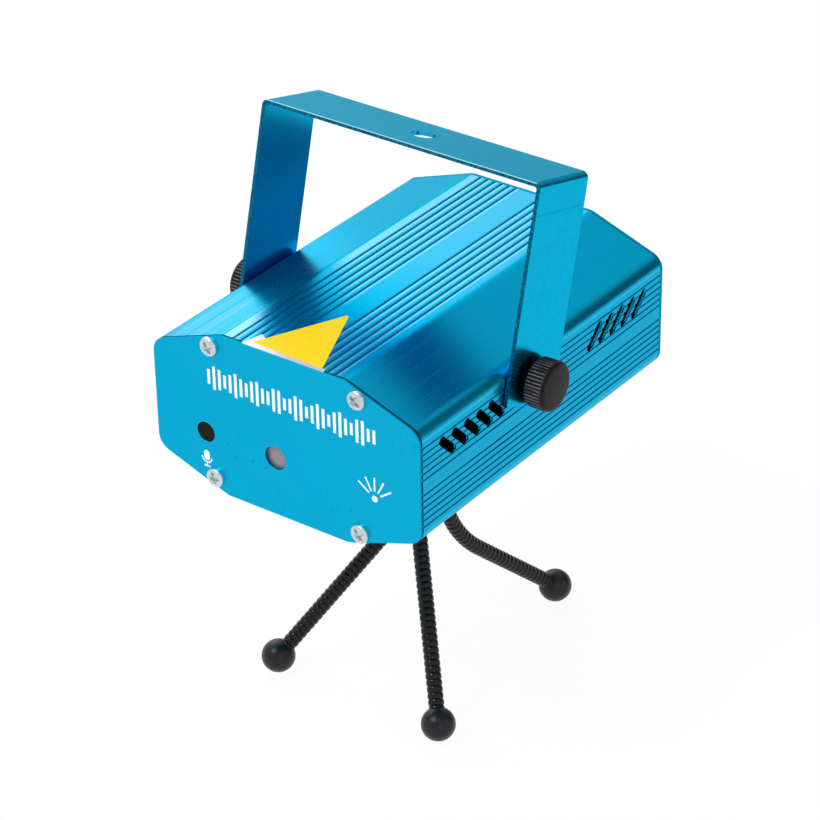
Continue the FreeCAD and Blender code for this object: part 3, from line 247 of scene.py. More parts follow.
def addCamera(view):
    turn, lift, roll = (math.radians(view[k]) for k in ("azimuth", "elevation", "roll"))
    back = Vector((math.sin(turn) * math.cos(lift), -math.cos(turn) * math.cos(lift), math.sin(lift)))
    level = Vector((math.cos(turn), math.sin(turn), 0))
    upright = back.cross(level)
    right = level * math.cos(roll) + upright * math.sin(roll)
    up = upright * math.cos(roll) - level * math.sin(roll)
    spot = caseMiddle + (back * view["distance"] + right * view["across"] + up * view["above"]) * mm
    data = bpy.data.cameras.new("photoCamera")
    data.sensor_width = view["sensor"]
    data.lens = view["lens"]
    data.clip_start = view["nearest"] * mm
    camera = bpy.data.objects.new("photoCamera", data)
    scene.collection.objects.link(camera)
    matrix = Matrix((right, up, back)).transposed().to_4x4()
    matrix.translation = spot
    camera.matrix_world = matrix
    scene.camera = camera


addCamera(cameraView)
print("camera set")

# studio: pale floor, white surround for the camera, soft light with a dark side to the right rear
studio = {
    "floorSize": 6.0,
    "floorWhite": 0.94,
    "floorRough": 0.9,
    "floorGlow": 0.9,
    "shadowShare": 0.07,
    "sweep": (  # place from left to right, brightness
        (0, 1.0), (0.1, 1.0), (0.15, 0.95), (0.2, 0.75), (0.245, 0.57), (0.35, 0.35), (0.45, 0.26), (0.55, 0.24),
        (0.65, 0.21), (0.7, 0.14), (0.74, 0.08), (0.81, 0.06), (0.85, 0.13), (0.9, 0.55), (1, 0.85),
    ),
    "frontLight": 0.85,
    "rearEdge": (0.1, 0.3),
    "highEdge": (0.35, 0.2),
    "highGain": 1.9,
    "lamps": {  # power, size, place, aim
        "keyLamp": (7.0, 0.28, (-0.35, -0.85, 1.25), (0, 0, 0.1)),
        "fillLamp": (1.0, 0.28, (1.2, -0.9, 0.6), (0, 0, 0.1)),
        "edgeLamp": (0.02, 0.08, (-0.32, 0.22, 0.17), (-0.034, -0.06, 0.13)),
    },
}


def addFloor(s):
    mesh = bpy.data.meshes.new("floor")
    h = s["floorSize"]
    mesh.from_pydata([(-h, -h, 0), (h, -h, 0), (h, h, 0), (-h, h, 0)], [], [(0, 1, 2, 3)])
    pale = Finish("paleFloor")
    pale.set({"Base Color": (s["floorWhite"],) * 3 + (1,), "Roughness": s["floorRough"]})
    names = ("Is Camera Ray", "Is Glossy Ray", "Is Transmission Ray")
    camera, glossy, through = pale.node("ShaderNodeLightPath", pick=names)
    white = pale.node("ShaderNodeEmission", inputs={"Color": (1, 1, 1, 1), "Strength": 1.0})
    lit = Val(pale, pale.shader.outputs[0])
    lit = pale.node("ShaderNodeMixShader", inputs=((glossy + through) * s["floorGlow"], lit, white))
    clear = pale.node("ShaderNodeBsdfTransparent")  # the white surround shows through, and the shadow stays
    lit = pale.node("ShaderNodeMixShader", inputs=(camera * (1 - s["shadowShare"]), lit, clear))
    pale.tree.links.new(lit.socket, pale.output.inputs[0])
    floor = newPiece("studioFloor", mesh, pale.material)


def addWorld(s):
    world = bpy.data.worlds.new("studioSurround")
    scene.world = world
    world.use_nodes = True
    graph = Graph(world.node_tree)
    graph.tree.nodes.clear()
    out = graph.tree.nodes.new("ShaderNodeOutputWorld")
    x, y, z = graph.split(graph.node("ShaderNodeTexCoord", pick="Generated"))
    stops = [(place, (light, light, light, 1)) for place, light in s["sweep"]]
    sweep = graph.node("ShaderNodeValToRGB", {"stops": stops}, (x * 0.5 + 0.5,))
    high = sweep * (1 + z.above(*s["highEdge"]) * s["highGain"])
    level = graph.node("ShaderNodeMix", inputs={0: y.above(*s["rearEdge"]), 2: s["frontLight"], 3: high})
    seen = graph.node("ShaderNodeLightPath", pick="Is Camera Ray")
    strength = graph.node("ShaderNodeMix", inputs={0: seen, 2: level, 3: 1.0})
    sky = graph.node("ShaderNodeBackground", inputs={"Color": (1, 1, 1, 1), "Strength": strength})
    graph.tree.links.new(sky.socket, out.inputs[0])


def addLamp(name, power, size, spot, aim):
    data = bpy.data.lights.new(name, "AREA")
    data.energy = power
    data.size = size
    lamp = bpy.data.objects.new(name, data)
    lamp.visible_camera = False
    scene.collection.objects.link(lamp)
    way = Vector(aim) - Vector(spot)
    lamp.matrix_world = Matrix.Translation(spot) @ way.to_track_quat("-Z", "Y").to_matrix().to_4x4()


addFloor(studio)
addWorld(studio)
for name, lamp in studio["lamps"].items():
    addLamp(name, *lamp)
print("studio lit")

# finishes
anodisedBlue = {
    "colour": (0.006, 0.44, 0.71, 1),
    "deep": (0.004, 0.37, 0.63, 1),
    "grazing": (0.45, 0.85, 0.95, 1),
    # paler groove colour, painted light against the grooves' shade
    "groove": (0.03, 0.64, 0.87, 1),
    "bed": (0.004, 0.46, 0.7, 1),
    # painted shade colour beside the grooves
    "lee": (0.002, 0.2, 0.36, 1),
    # painted highlight colour for ridge edges and the top's left strip
    "paintedHighlight": (0.24, 0.58, 0.74, 1),
    # pale slot wall colour, a painted highlight
    "slit": (0.01, 0.8, 1.0, 1),
    "shellRough": 0.26,
    "plateRough": 0.42,
    "yokeRough": 0.22,
}
shellMarks = {  # millimetres from the middle of the case or in from its faces; an edge or band ends with its softness
    "fineLines": (2600, 14, 2600),
    "broadLines": (420, 5, 420),
    "clouds": 26.0,
    "halfWidth": 46.0,
    "halfHeight": 25.8,
    "topEdge": (20.8, 0.1),
    "sideEdge": (11.2, 0.2),
    "face": (0.04, 0.02),
    "groove": (0.06, 0.44, 0.02),
    "bed": (0.27, 0.44, 0.01),
    "firstGroove": 17.55,
    "groovePitch": 2.55,
    "ribbed": (3.6, 18.6, 0.2),
    "highlightFrom": (0.4, 0.1),
    "highlightTo": (1.0, 0.6),
    "leeFrom": (-0.85, 0.2),
    "leeTo": (-0.2, 0.1),
    "slitFrom": (0.34, 0.02),
    "slitTo": (0.66, 0.08),
    "slitHeight": (5.0, 10.9, 0.2),
    "wall": (0.5, 0.3),
    "armLine": 19.6,
    "armSlant": 1.05,
    "armShade": (-43.95, -6.95, 7.0),
    "armSide": (0.0, 4.0),
    "highlightLeft": (-12.0, 12.0),
    "highlightFront": (-15.45, 35.0),
    "sheenRear": (-0.45, 30.0),
    "sheenTop": (21.0, 1.0),
    "strip": (-21.1, -18.2, 0.4),
    "stripFade": (-5.45, 40.0),
    "glint": (-44.45, 5.0),
}


def brushedShell(s, m):  # extruded aluminium, drawn along its length
    f = Finish("anodisedExtrusion")
    lines, broad = f.drawn(m["fineLines"], 2.0), f.drawn(m["broadLines"], 3.0)
    clouds = f.noise(m["clouds"], 2.0)
    streak = lines * 0.6 + broad * 0.4
    x, y, height = f.millimetres(caseMiddle)
    flank = x.op("ABSOLUTE")
    under = m["halfHeight"] - height.op("ABSOLUTE")
    inside = m["halfWidth"] - flank
    face = under.below(*m["face"])
    onTop, onSide = flank.below(*m["topEdge"]), under.above(*m["sideEdge"])
    # painted light: groove walls take a paler colour than the skin, lifting them out of their shade
    groove = under.within(*m["groove"]) * onTop + inside.within(*m["groove"]) * onSide * 0.8
    bed = under.within(*m["bed"]) * onTop + inside.within(*m["bed"]) * onSide * 0.55
    wave = ((m["firstGroove"] - flank) / m["groovePitch"] + 0.5).op("FRACT") - 0.5
    beside = wave * x.op("SIGN") * -m["groovePitch"]  # place to the right of the nearest top groove
    ribbed = flank.within(*m["ribbed"]) * face
    lee = beside.above(*m["leeFrom"]) * beside.below(*m["leeTo"]) * ribbed * 0.6  # painted shade on the ridge edge beside a groove
    arm = y + (x + m["armLine"]) * m["armSlant"]
    outsideArmReflection = 1 - arm.within(*m["armShade"]) * x.below(*m["armSide"])  # painted highlights held back where the bracket's arm is reflected
    # painted highlight on the ridge edge beside each groove
    ridges = beside.above(*m["highlightFrom"]) * beside.below(*m["highlightTo"]) * ribbed
    strip = x.within(*m["strip"]) * face
    paintedHighlight = (ridges * 0.9 + strip * (1 - y.above(*m["stripFade"]) * 0.5)) * outsideArmReflection  # painted highlight: pale ridge edges beside the grooves and a pale strip by the top's left edge
    # painted highlight: the slot walls are pale cyan and less metallic, so they read as lit
    slit = inside.above(*m["slitFrom"]) * inside.below(*m["slitTo"]) * height.within(*m["slitHeight"])
    # painted highlight: coat streaks on the left front for white highlight streaks
    highlightPatches = x.below(*m["highlightLeft"]) * streak.above(0.52, 0.16) * y.below(*m["highlightFront"]) * outsideArmReflection * 0.6
    sheen = y.above(*m["sheenRear"]) * flank.below(*m["sheenTop"]) * face * (1 - lee) * 0.5
    glint = strip * y.below(*m["glint"]) * outsideArmReflection * 0.5
    wall = inside.below(*m["wall"]) * 0.15
    skin = f.mix(streak.above(0.5, 0.3) * 0.25 + clouds * 0.3, s["deep"], s["colour"])
    for share, colour in ((lee, "lee"), (groove, "groove"), (bed, "bed"), (paintedHighlight, "paintedHighlight"), (slit, "slit")):
        skin = f.mix(share, skin, s[colour])
    f.set({
        "Base Color": skin,
        "Metallic": 1 - slit * 0.8,
        "Roughness": (streak - 0.5) * 0.14 + s["shellRough"],
        "Specular Tint": s["grazing"],
        "Coat Weight": highlightPatches + sheen + wall + glint,
        "Coat Roughness": 0.2,
        "Normal": f.bump(streak + broad * 3.5, 0.06, 0.2 * mm),
    })
    return f.material


plateMarks = {
    "grain": 2400.0,
    "clouds": 18.0,
    "patches": 42.0,
    "scuffLines": (1500, 1500, 330),
    "rim": (0.07, 0.04),
    # painted shade on the panel's edges
    "rimShade": (0.0, 0.06, 0.1, 1),
    "scuffShade": (0.0, 0.16, 0.27, 1),
}


def platePaint(s, m):  # flat panel with fine grain, faint scuffs and painted shade on its edges
    f = Finish("anodisedPlate")
    grain, clouds = f.noise(m["grain"], 2.0), f.noise(m["clouds"], 2.0)
    patches = f.noise(m["patches"], 1.0).above(0.6, 0.05)
    scuffs = f.drawn(m["scuffLines"], 2.0).above(0.69, 0.04) * patches
    along = f.millimetres(caseMiddle)[1]
    # painted shade: everything more than a hair behind the face, edges and hole walls, is darkened
    rim = (halfLength - along.op("ABSOLUTE")).above(*m["rim"])
    skin = f.mix(rim * 0.45, f.mix(clouds * 0.4, s["colour"], s["deep"]), m["rimShade"])
    f.set({
        "Base Color": f.mix(scuffs * 0.7, skin, m["scuffShade"]),
        "Metallic": 1.0,
        "Roughness": grain * 0.08 + clouds * 0.06 + scuffs * 0.1 + s["plateRough"] - 0.07,
        "Specular Tint": s["grazing"],
        "Normal": f.bump(grain - scuffs * 0.8, 0.06, 0.2 * mm),
    })
    return f.material


yokeMarks = {  # millimetres across and up the arm, from the clamp's axis
    "lean": 14.7,
    "pivot": (0, -8.5, 10),
    "grain": 1900.0,
    "clouds": 22.0,
    "mottle": 620.0,
    "tearing": 1500.0,
    "cutEdge": (12.13, 0.01),
    "edgeHighlight": (57.75, 0.1),
    "crease": 49.3,
    "creaseWaves": 60.0,
    "creaseSway": 0.8,
    "creaseWidth": (0.26, 0.2),
    "creaseSide": (46.0, 0.5),
    "creaseShade": (0.0, 0.2, 0.33, 1),
    "cutDark": (0.0, 0.07, 0.13, 1),
    "cutPale": (0.004, 0.2, 0.34, 1),
    # painted highlight colour for the top's cut edges
    "edgeHighlightPale": (0.5, 0.86, 0.97, 1),
}


def yokeSheet(s, m):  # bent sheet: dark cut edges, a painted highlight along the top's cut edges, a faint crease on the right arm with painted shade along it
    f = Finish("anodisedYoke")
    grain, clouds = f.noise(m["grain"], 2.0), f.noise(m["clouds"], 2.0)
    torn = f.noise(m["tearing"], 3.0).above(0.5, 0.2)
    mottle = f.noise(m["mottle"], 2.0).above(0.5, 0.25)
    lean = math.radians(m["lean"])
    x, y, z = f.millimetres(caseMiddle + Vector(m["pivot"]) * mm)
    across, height = y * math.cos(lean) - z * math.sin(lean), y * math.sin(lean) + z * math.cos(lean)
    cut = across.op("ABSOLUTE").above(*m["cutEdge"])
    sway = f.noise(m["creaseWaves"], 1.0) * m["creaseSway"]
    # crease: a shallow dent in the bump, with painted shade along it
    crease = (height - m["crease"] + sway).op("ABSOLUTE").below(*m["creaseWidth"])
    crease = crease * (1 - cut) * x.above(*m["creaseSide"])
    skin = f.mix(clouds * 0.3 + mottle * 0.5, s["colour"], s["deep"])
    edge = f.mix(height.above(*m["edgeHighlight"]), f.mix(torn, m["cutDark"], m["cutPale"]), m["edgeHighlightPale"])
    f.set({
        "Base Color": f.mix(cut, f.mix(crease * 0.3, skin, m["creaseShade"]), edge),
        "Metallic": 1.0,
        "Roughness": grain * 0.06 + clouds * 0.06 + cut * 0.14 + s["yokeRough"] - 0.06,
        "Specular Tint": s["grazing"],
        "Coat Weight": clouds * 0.04 + 0.02,
        "Coat Roughness": 0.35,
        "Normal": f.bump(grain * 0.3 - crease + cut * torn * 0.6, 0.08, 0.2 * mm),
    })
    return f.material


def blackMoulding(name, colour, rough, grainScale, depth, gloss=0.5):  # moulded or coated black
    f = Finish(name)
    grain = f.noise(grainScale, 3.0)
    dust = f.noise(70.0, 4.0)
    lighter = tuple(c * 1.7 + 0.003 for c in colour[:3]) + (1,)
    f.set({
        "Base Color": f.mix(dust.above(0.55, 0.2) * 0.5, colour, lighter),
        "Roughness": (grain - 0.5) * 0.18 + (dust - 0.5) * 0.1 + rough,
        "Specular IOR Level": gloss,
        "Normal": f.bump(grain, 0.15, depth),
    })
    return f.material


knobRidgeHighlight = {  # millimetres from the knob's axis and from the middle of the case
    "grain": 1700.0,
    "rubbing": 320.0,
    "crest": (7.27, 0.07),
    "outerEnd": (54.1, 0.4),
    "black": (0.005, 0.004, 0.005, 1),
    # painted highlight colour of the ridge tops
    "pale": (0.15, 0.14, 0.145, 1),
}


def ridgedPlastic(w, pivot):  # clamp knobs: ridge tops paler in patches, a painted highlight
    f = Finish("knobGrip")
    grain = f.noise(w["grain"], 3.0)
    x, y, z = f.millimetres(caseMiddle + Vector((0, *pivot)) * mm)
    # painted highlight on the ridge tops, broken into patches
    crest = (y ** 2.0 + z ** 2.0).op("SQRT").above(*w["crest"]) * x.op("ABSOLUTE").below(*w["outerEnd"])
    highlightPatches = f.noise(w["rubbing"], 2.0).above(0.48, 0.16)
    f.set({
        "Base Color": f.mix(crest * (highlightPatches * 0.8 + 0.2), w["black"], w["pale"]),
        "Roughness": (grain - 0.5) * 0.2 + 0.42,
        "Specular IOR Level": 0.14,
        "Normal": f.bump(grain, 0.12, 0.2 * mm),
    })
    return f.material


def bareMetal(name, colour, rough, grainScale=(900, 900, 900)):
    f = Finish(name)
    grain = f.drawn(grainScale, 3.0)
    stain = f.noise(160.0, 3.0)
    dull = tuple(c * 0.72 for c in colour[:3]) + (1,)
    f.set({
        "Base Color": f.mix(stain.above(0.5, 0.25) * 0.6, colour, dull),
        "Metallic": 1.0,
        "Roughness": grain * 0.18 + stain * 0.1 + rough - 0.12,
        "Normal": f.bump(grain, 0.08, 0.0001),
    })
    return f.material


def plainInk(name, colour, rough=0.5, gloss=0.5):  # printed or stuck-on colour
    f = Finish(name)
    wear = f.noise(900.0, 3.0)
    pale = tuple(c * 0.86 for c in colour[:3]) + (1,)
    f.set({
        "Base Color": f.mix(wear.above(0.6, 0.12) * 0.6, colour, pale),
        "Roughness": wear * 0.2 + rough - 0.1,
        "Specular IOR Level": gloss,
    })
    return f.material


def smokedGlass(name, colour, pale, rough):
    f = Finish(name)
    haze = f.noise(300.0, 2.0)
    f.set({
        "Base Color": f.mix(haze * 0.5, colour, pale),
        "Roughness": haze * 0.1 + rough,
        "Coat Weight": 0.4,
    })
    return f.material


def circuitLacquer():
    f = Finish("boardLacquer")
    cells = {"Vector": f.mapped((330, 330, 1)), "Scale": 1.0}
    tracks = f.node("ShaderNodeTexVoronoi", {"distance": "MANHATTAN"}, cells).below(0.18, 0.03)
    f.set({
        "Base Color": f.mix(tracks, (0.012, 0.15, 0.05, 1), (0.03, 0.28, 0.09, 1)),
        "Roughness": tracks * 0.1 + 0.35,
        "Normal": f.bump(tracks, 0.3, 0.0001),
    })
    return f.material


shellBlue = brushedShell(anodisedBlue, shellMarks)
plateBlue = platePaint(anodisedBlue, plateMarks)
yokeBlue = yokeSheet(anodisedBlue, yokeMarks)
knobBlack = blackMoulding("knobPlastic", (0.006, 0.005, 0.006, 1), 0.4, 1800.0, 0.0002, 0.22)
legBlack = blackMoulding("gooseneckCoat", (0.002, 0.002, 0.0025, 1), 0.22, 1400.0, 0.0001, 0.26)
footBlack = blackMoulding("footPlastic", (0.003, 0.003, 0.005, 1), 0.34, 1600.0, 0.0002, 0.32)
micBlack = blackMoulding("micFelt", (0.005, 0.003, 0.003, 1), 0.8, 2600.0, 0.0003, 0.2)
# dark sheet behind the front panel's edge, painted shade
seamShadowBlack = blackMoulding("seamShadow", (0.001, 0.02, 0.035, 1), 0.8, 2000.0, 0.0001, 0.1)
switchBlack = blackMoulding("switchPlastic", (0.012, 0.012, 0.013, 1), 0.42, 1500.0, 0.0001)
rockerBlack = blackMoulding("rockerPlastic", (0.010, 0.010, 0.011, 1), 0.25, 1300.0, 0.0001)
fanBlack = blackMoulding("fanPlastic", (0.010, 0.010, 0.010, 1), 0.5, 1500.0, 0.0001)
chipBlack = blackMoulding("chipResin", (0.008, 0.008, 0.008, 1), 0.6, 3000.0, 0.0001)
screwSteel = bareMetal("screwPlating", (0.64, 0.72, 0.76, 1), 0.3)
motorSteel = bareMetal("motorCan", (0.5, 0.5, 0.52, 1), 0.38)
blockAluminium = bareMetal("milledAluminium", (0.66, 0.67, 0.69, 1), 0.4, (700, 60, 700))
laserBrass = bareMetal("turnedBrass", (0.72, 0.5, 0.2, 1), 0.34)
capacitorCan = bareMetal("capacitorSleeve", (0.08, 0.1, 0.22, 1), 0.4)
mirrorGlass = bareMetal("mirrorCoat", (0.7, 0.5, 0.55, 1), 0.14)
connectorWhite = plainInk("connectorNylon", (0.75, 0.73, 0.67, 1), 0.5)
whiteInk = plainInk("whiteInk", (0.84, 0.9, 0.94, 1), 0.5)
yellowFilm = plainInk("yellowFilm", (0.9, 0.64, 0.001, 1), 0.3, 0.15)
silverFilm = bareMetal("silverFilm", (0.8, 0.8, 0.82, 1), 0.28, (500, 500, 500))
windowGlass = smokedGlass("smokedWindow", (0.2, 0.17, 0.2, 1), (0.27, 0.25, 0.28, 1), 0.12)
gratingFilm = smokedGlass("gratingFilm", (0.4, 0.42, 0.5, 1), (0.5, 0.45, 0.55, 1), 0.15)
boardGreen = circuitLacquer()

nodeFinish = {
    "upper_shell lower_shell": shellBlue,
    "front_plate rear_plate": plateBlue,
    "yoke": yokeBlue,
    "front_screws rear_screws fan_screws fan_nuts board_screws clamp_nuts left_stud right_stud "
    "tripod_stud tripod_nut pot_nut jack_nut wheel_shaft pot_shaft jack_pin": screwSteel,
    "wheel_motor motor_bracket": motorSteel,
    "left_knob right_knob lock_wheel tripod_hub speed_knob clamp_washers": knobBlack,
    "left_leg right_leg rear_leg": legBlack,
    "left_foot right_foot rear_foot": footBlack,
    "mic_capsule mic_sleeve": micBlack,
    "power_switch mode_switch jack_body speed_pot": switchBlack,
    "power_rocker mode_slider": rockerBlack,
    "fan_frame fan_rotor": fanBlack,
    "aperture_window": windowGlass,
    "grating_wheel": gratingFilm,
    "combiner_mirror": mirrorGlass,
    "green_block red_block mirror_post window_holder": blockAluminium,
    "green_laser red_laser board_standoffs": laserBrass,
    "main_board": boardGreen,
    "driver_chip": chipBlack,
    "board_capacitors": capacitorCan,
    "board_connectors": connectorWhite,
}
for names, material in nodeFinish.items():
    for name in names.split():
        slots = nodes[name].data.materials
        slots.clear()
        slots.append(material)
print("finishes on", len(nodes), "nodes")

# gooseneck legs: the route of each and its ribs
gooseneck = {
    "crest": 2.4,
    "valley": 2.06,
    "pitch": 1.9,
    "bulge": 0.4,
    "ringSteps": 10,
    "bendSteps": 32,
    "around": 28,
    "root": (0, 5, -39.0),
    "ring": 4.8,
    "footRadius": 5.15,
    "seat": 1.5,
    "smooth": 60,
    "legs": {  # socket bearing, turn, slope below level, straight start, bend radius
        "left": (60, -124.8, 46, 6.6, 22.1),
        "right": (180, -46.3, 48.6, 7.4, 18.8),
        "rear": (300, 72.8, 41.05, 7.1, 39.3),
    },
}


def legRoute(g, name):  # points of the middle line, from the socket to inside the ball foot
    bearing, turn, slope, straight, bend = g["legs"][name]
    a, t = math.radians(bearing), math.radians(turn)
    start = Vector(g["root"]) + Vector((-math.sin(a), math.cos(a), 0)) * g["ring"]
    out = Vector((math.cos(t), math.sin(t), 0))
    swing = math.radians(90 - slope)
    drop = start.z + standHeight - g["footRadius"]
    run = (drop - straight - bend * math.sin(swing)) / math.cos(swing)
    down = Vector((0, 0, -1))
    points = [start, start + down * straight * 0.5]
    for i in range(g["bendSteps"] + 1):
        angle = swing * i / g["bendSteps"]
        points.append(start + down * (straight + bend * math.sin(angle)) + out * bend * (1 - math.cos(angle)))
    way = out * math.sin(swing) + down * math.cos(swing)
    points.append(points[-1] + way * run - way * g["seat"])
    return [caseMiddle + p * mm for p in points]


def ribbedTube(g):
    t = Shape(
        "ribbedTube", Crest=g["crest"] * mm, Valley=g["valley"] * mm, Pitch=g["pitch"] * mm, Rings=2,
        Around=g["around"], Material=legBlack,
    )
    line = t.node("GeometryNodeMeshToCurve", inputs=(t.get("Geometry"),))
    line = t.node("GeometryNodeResampleCurve", inputs={"Curve": line, "Count": t.get("Rings")})
    along = t.node("GeometryNodeSplineParameter", pick="Length")
    phase = (along / t.get("Pitch")).op("FRACT")
    bulge = (phase * math.pi).op("SINE").op("MAXIMUM", 0.0) ** g["bulge"]
    radius = t.get("Valley") + (t.get("Crest") - t.get("Valley")) * bulge
    ring = t.node("GeometryNodeCurvePrimitiveCircle", inputs={"Resolution": t.get("Around"), "Radius": 1.0})
    sweep = {"Curve": line, "Profile Curve": ring, "Scale": radius, "Fill Caps": True}
    t.close(t.node("GeometryNodeCurveToMesh", inputs=sweep))
    return t


def addLegs(g):
    tube = ribbedTube(g)
    for name in g["legs"]:
        route = legRoute(g, name)
        length = sum((b - a).length for a, b in zip(route, route[1:]))
        ribs = round(length / (g["pitch"] * mm))
        line = lineMesh(f"{name}Route", route)
        piece = tube.run(f"{name}Gooseneck", line, Pitch=length / ribs, Rings=ribs * g["ringSteps"] + 1)
        smooth(piece, g["smooth"])
        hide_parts(f"{name}_leg")
        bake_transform(piece)
    print("gooseneck legs made")


addLegs(gooseneck)

# front panel: softened edges in front of a dark sheet, painted shade that makes a fine shadow line part it from the
# case
frontPanel = {
    "corners": ((46, 17.05, 5), (21.25, 25.8, 6), (-21.25, 25.8, 6), (-46, 17.05, 5)),
    "face": -60.0,
    "thick": 0.8,
    "soften": 0.12,
    "softSteps": 4,
    "backBevel": 0.1,
    "shadowLap": 0.05,
    "shadowInset": 0.35,
    "shadowBack": -58.8,
    "cornerSteps": 10,
    "holes": ((-28.3, -7.3, 3.1), (-3.6, -7.3, 3.6)),
    "holeSteps": 64,
    "smooth": 15,
}


def roundedLoop(corners, steps, inset=0.0):  # corners are x, y and radius; the inset moves the line inwards
    loop = []
    for i, corner in enumerate(corners):
        radius = corner[2]
        here, before, after = (Vector(corners[k % len(corners)][:2]) for k in (i, i - 1, i + 1))
        u, v = (before - here).normalized(), (after - here).normalized()
        half = u.angle(v) / 2
        middle = here + (u + v).normalized() * radius / math.sin(half)
        first, last = here + u * radius / math.tan(half) - middle, here + v * radius / math.tan(half) - middle
        begin = math.atan2(first.y, first.x)
        sweep = (math.atan2(last.y, last.x) - begin + math.pi) % math.tau - math.pi
        reach = radius - inset
        for k in range(steps + 1):
            angle = begin + sweep * k / steps
            loop.append((middle.x + math.cos(angle) * reach, middle.y + math.sin(angle) * reach))
    return loop


def panelLoop(p, hole, inset):  # line around the panel, or around one of its holes
    if hole:
        x, z, r = hole
        turns = [math.tau * k / p["holeSteps"] for k in range(p["holeSteps"])]
        return [(x + (r + inset) * math.cos(a), z + (r + inset) * math.sin(a)) for a in turns]
    upper = list(p["corners"])
    return roundedLoop(upper + [(x, -z, r) for x, z, r in reversed(upper)], p["cornerSteps"], inset)


def panelMesh(name, p, sections):  # sections: depth and inset, from the front backwards
    bm = bmesh.new()
    caps = ([], [])
    for hole in (None,) + p["holes"]:
        rings = []
        for y, inset in sections:
            loop = panelLoop(p, hole, inset)
            rings.append([bm.verts.new(caseMiddle + Vector((x, y, z)) * mm) for x, z in loop])
        count = len(rings[0])
        for a, b in zip(rings, rings[1:]):
            for k in range(count):
                bm.faces.new((a[k], a[(k + 1) % count], b[(k + 1) % count], b[k]))
        for cap, ring in zip(caps, (rings[0], rings[-1])):
            cap += [bm.edges.get((ring[k], ring[(k + 1) % count])) for k in range(count)]
    for cap in caps:
        bmesh.ops.triangle_fill(bm, use_beauty=True, edges=cap)
    bmesh.ops.recalc_face_normals(bm, faces=bm.faces)
    mesh = bpy.data.meshes.new(name)
    bm.to_mesh(mesh)
    bm.free()
    return mesh


def addFrontPanel(p):
    arcs = [math.pi / 2 * k / p["softSteps"] for k in range(p["softSteps"] + 1)]
    front = [(p["face"] + p["soften"] * (1 - math.cos(a)), p["soften"] * (1 - math.sin(a))) for a in arcs]
    back = p["face"] + p["thick"]
    sections = front + [(back - p["backBevel"], 0), (back, p["backBevel"])]
    panel = newPiece("frontPanel", panelMesh("frontPanel", p, sections), plateBlue)
    smooth(panel, p["smooth"])
    standIn(panel, "front_plate", "housing")
    # a dark sheet set in behind the panel's edge, painted shade for the shadow line
    sections = [(back - p["shadowLap"], p["shadowInset"]), (p["shadowBack"], p["shadowInset"])]
    seat = newPiece("panelSeat", panelMesh("panelSeat", p, sections), seamShadowBlack)
    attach(seat, "housing")
    print("front panel made")


addFrontPanel(frontPanel)

# cross-recess screws of both end plates and the fan, each left at its own angle
plateScrews = {
    "frontScrewSet": {
        "node": "front_screws",
        "spots": ((-25.4, 21.2, 32), (25.4, 21.2, 50), (-25.4, -21.2, 12), (25.4, -21.2, 38)),
        "seat": -60.0,
        "facing": 1.0,
        "head": 2.9,
        "height": 1.3,
        "length": 10.0,
    },
    "rearScrewSet": {
        "node": "rear_screws",
        "spots": ((-25.4, 21.2, 8), (25.4, 21.2, 61), (-25.4, -21.2, 25), (25.4, -21.2, 74)),
        "seat": 60.0,
        "facing": -1.0,
        "head": 2.2,
        "height": 0.8,
        "length": 10.0,
    },
    "fanScrewSet": {
        "node": "fan_screws",
        "spots": ((-16, 16, 40), (16, 16, 15), (-16, -16, 70), (16, -16, 55)),
        "seat": 60.0,
        "facing": -1.0,
        "head": 2.9,
        "height": 1.3,
        "length": 14.5,
    },
}
screwForm = {
    "flatShare": 0.55,
    "domePower": 2.4,
    "rimShare": 0.42,
    "recessShare": 0.76,
    "armShare": 0.17,
    "reachShare": 0.67,
    "wallLap": 0.12,
    "wallSlope": 0.16,
    "endSlope": 0.5,
    "shank": 1.5,
    "thread": 0.18,
    "pitch": 0.5,
    "around": 96,
    "steps": 36,
    "smooth": 35,
}


def screwMesh(s, f):
    head, height, recess = s["head"], s["height"], s["height"] * f["recessShare"]
    rim, arm, reach = height * f["rimShare"], head * f["armShare"], head * f["reachShare"]
    bm = bmesh.new()
    n = f["around"]
    turns = [math.tau * k / n for k in range(n)]
    rings = []
    for i in range(1, f["steps"] + 1):
        r = head * i / f["steps"]
        edge = max(0.0, (r / head - f["flatShare"]) / (1 - f["flatShare"]))
        top = rim + (height - rim) * math.sqrt(max(0.0, 1 - edge ** f["domePower"]))
        ring = []
        for a in turns:
            x, y = r * math.cos(a), r * math.sin(a)
            near, far = sorted((abs(x), abs(y)))
            side = min(1, max(0, (arm + f["wallLap"] - near) / f["wallSlope"]))
            end = min(1, max(0, (reach - far) / f["endSlope"]))
            ring.append(bm.verts.new((x * mm, y * mm, (top - recess * side * end) * mm)))
        rings.append(ring)
    sections = [(head, 0)]
    half = f["pitch"] / 2
    count = int(s["length"] / half)
    sections += [(f["shank"] - f["thread"] * (k % 2), -k * half) for k in range(count)]
    sections += [(f["shank"] - f["thread"] * 2, -s["length"])]
    for r, z in sections:
        rings.append([bm.verts.new((r * mm * math.cos(a), r * mm * math.sin(a), z * mm)) for a in turns])
    middle = bm.verts.new((0, 0, (height - recess) * mm))
    tip = bm.verts.new((0, 0, -s["length"] * mm))
    for k in range(n):
        bm.faces.new((middle, rings[0][k], rings[0][(k + 1) % n]))
        bm.faces.new((tip, rings[-1][(k + 1) % n], rings[-1][k]))
    for a, b in zip(rings, rings[1:]):
        for k in range(n):
            bm.faces.new((a[k], b[k], b[(k + 1) % n], a[(k + 1) % n]))
    mesh = bpy.data.meshes.new(s["node"])
    bm.to_mesh(mesh)
    bm.free()
    return mesh


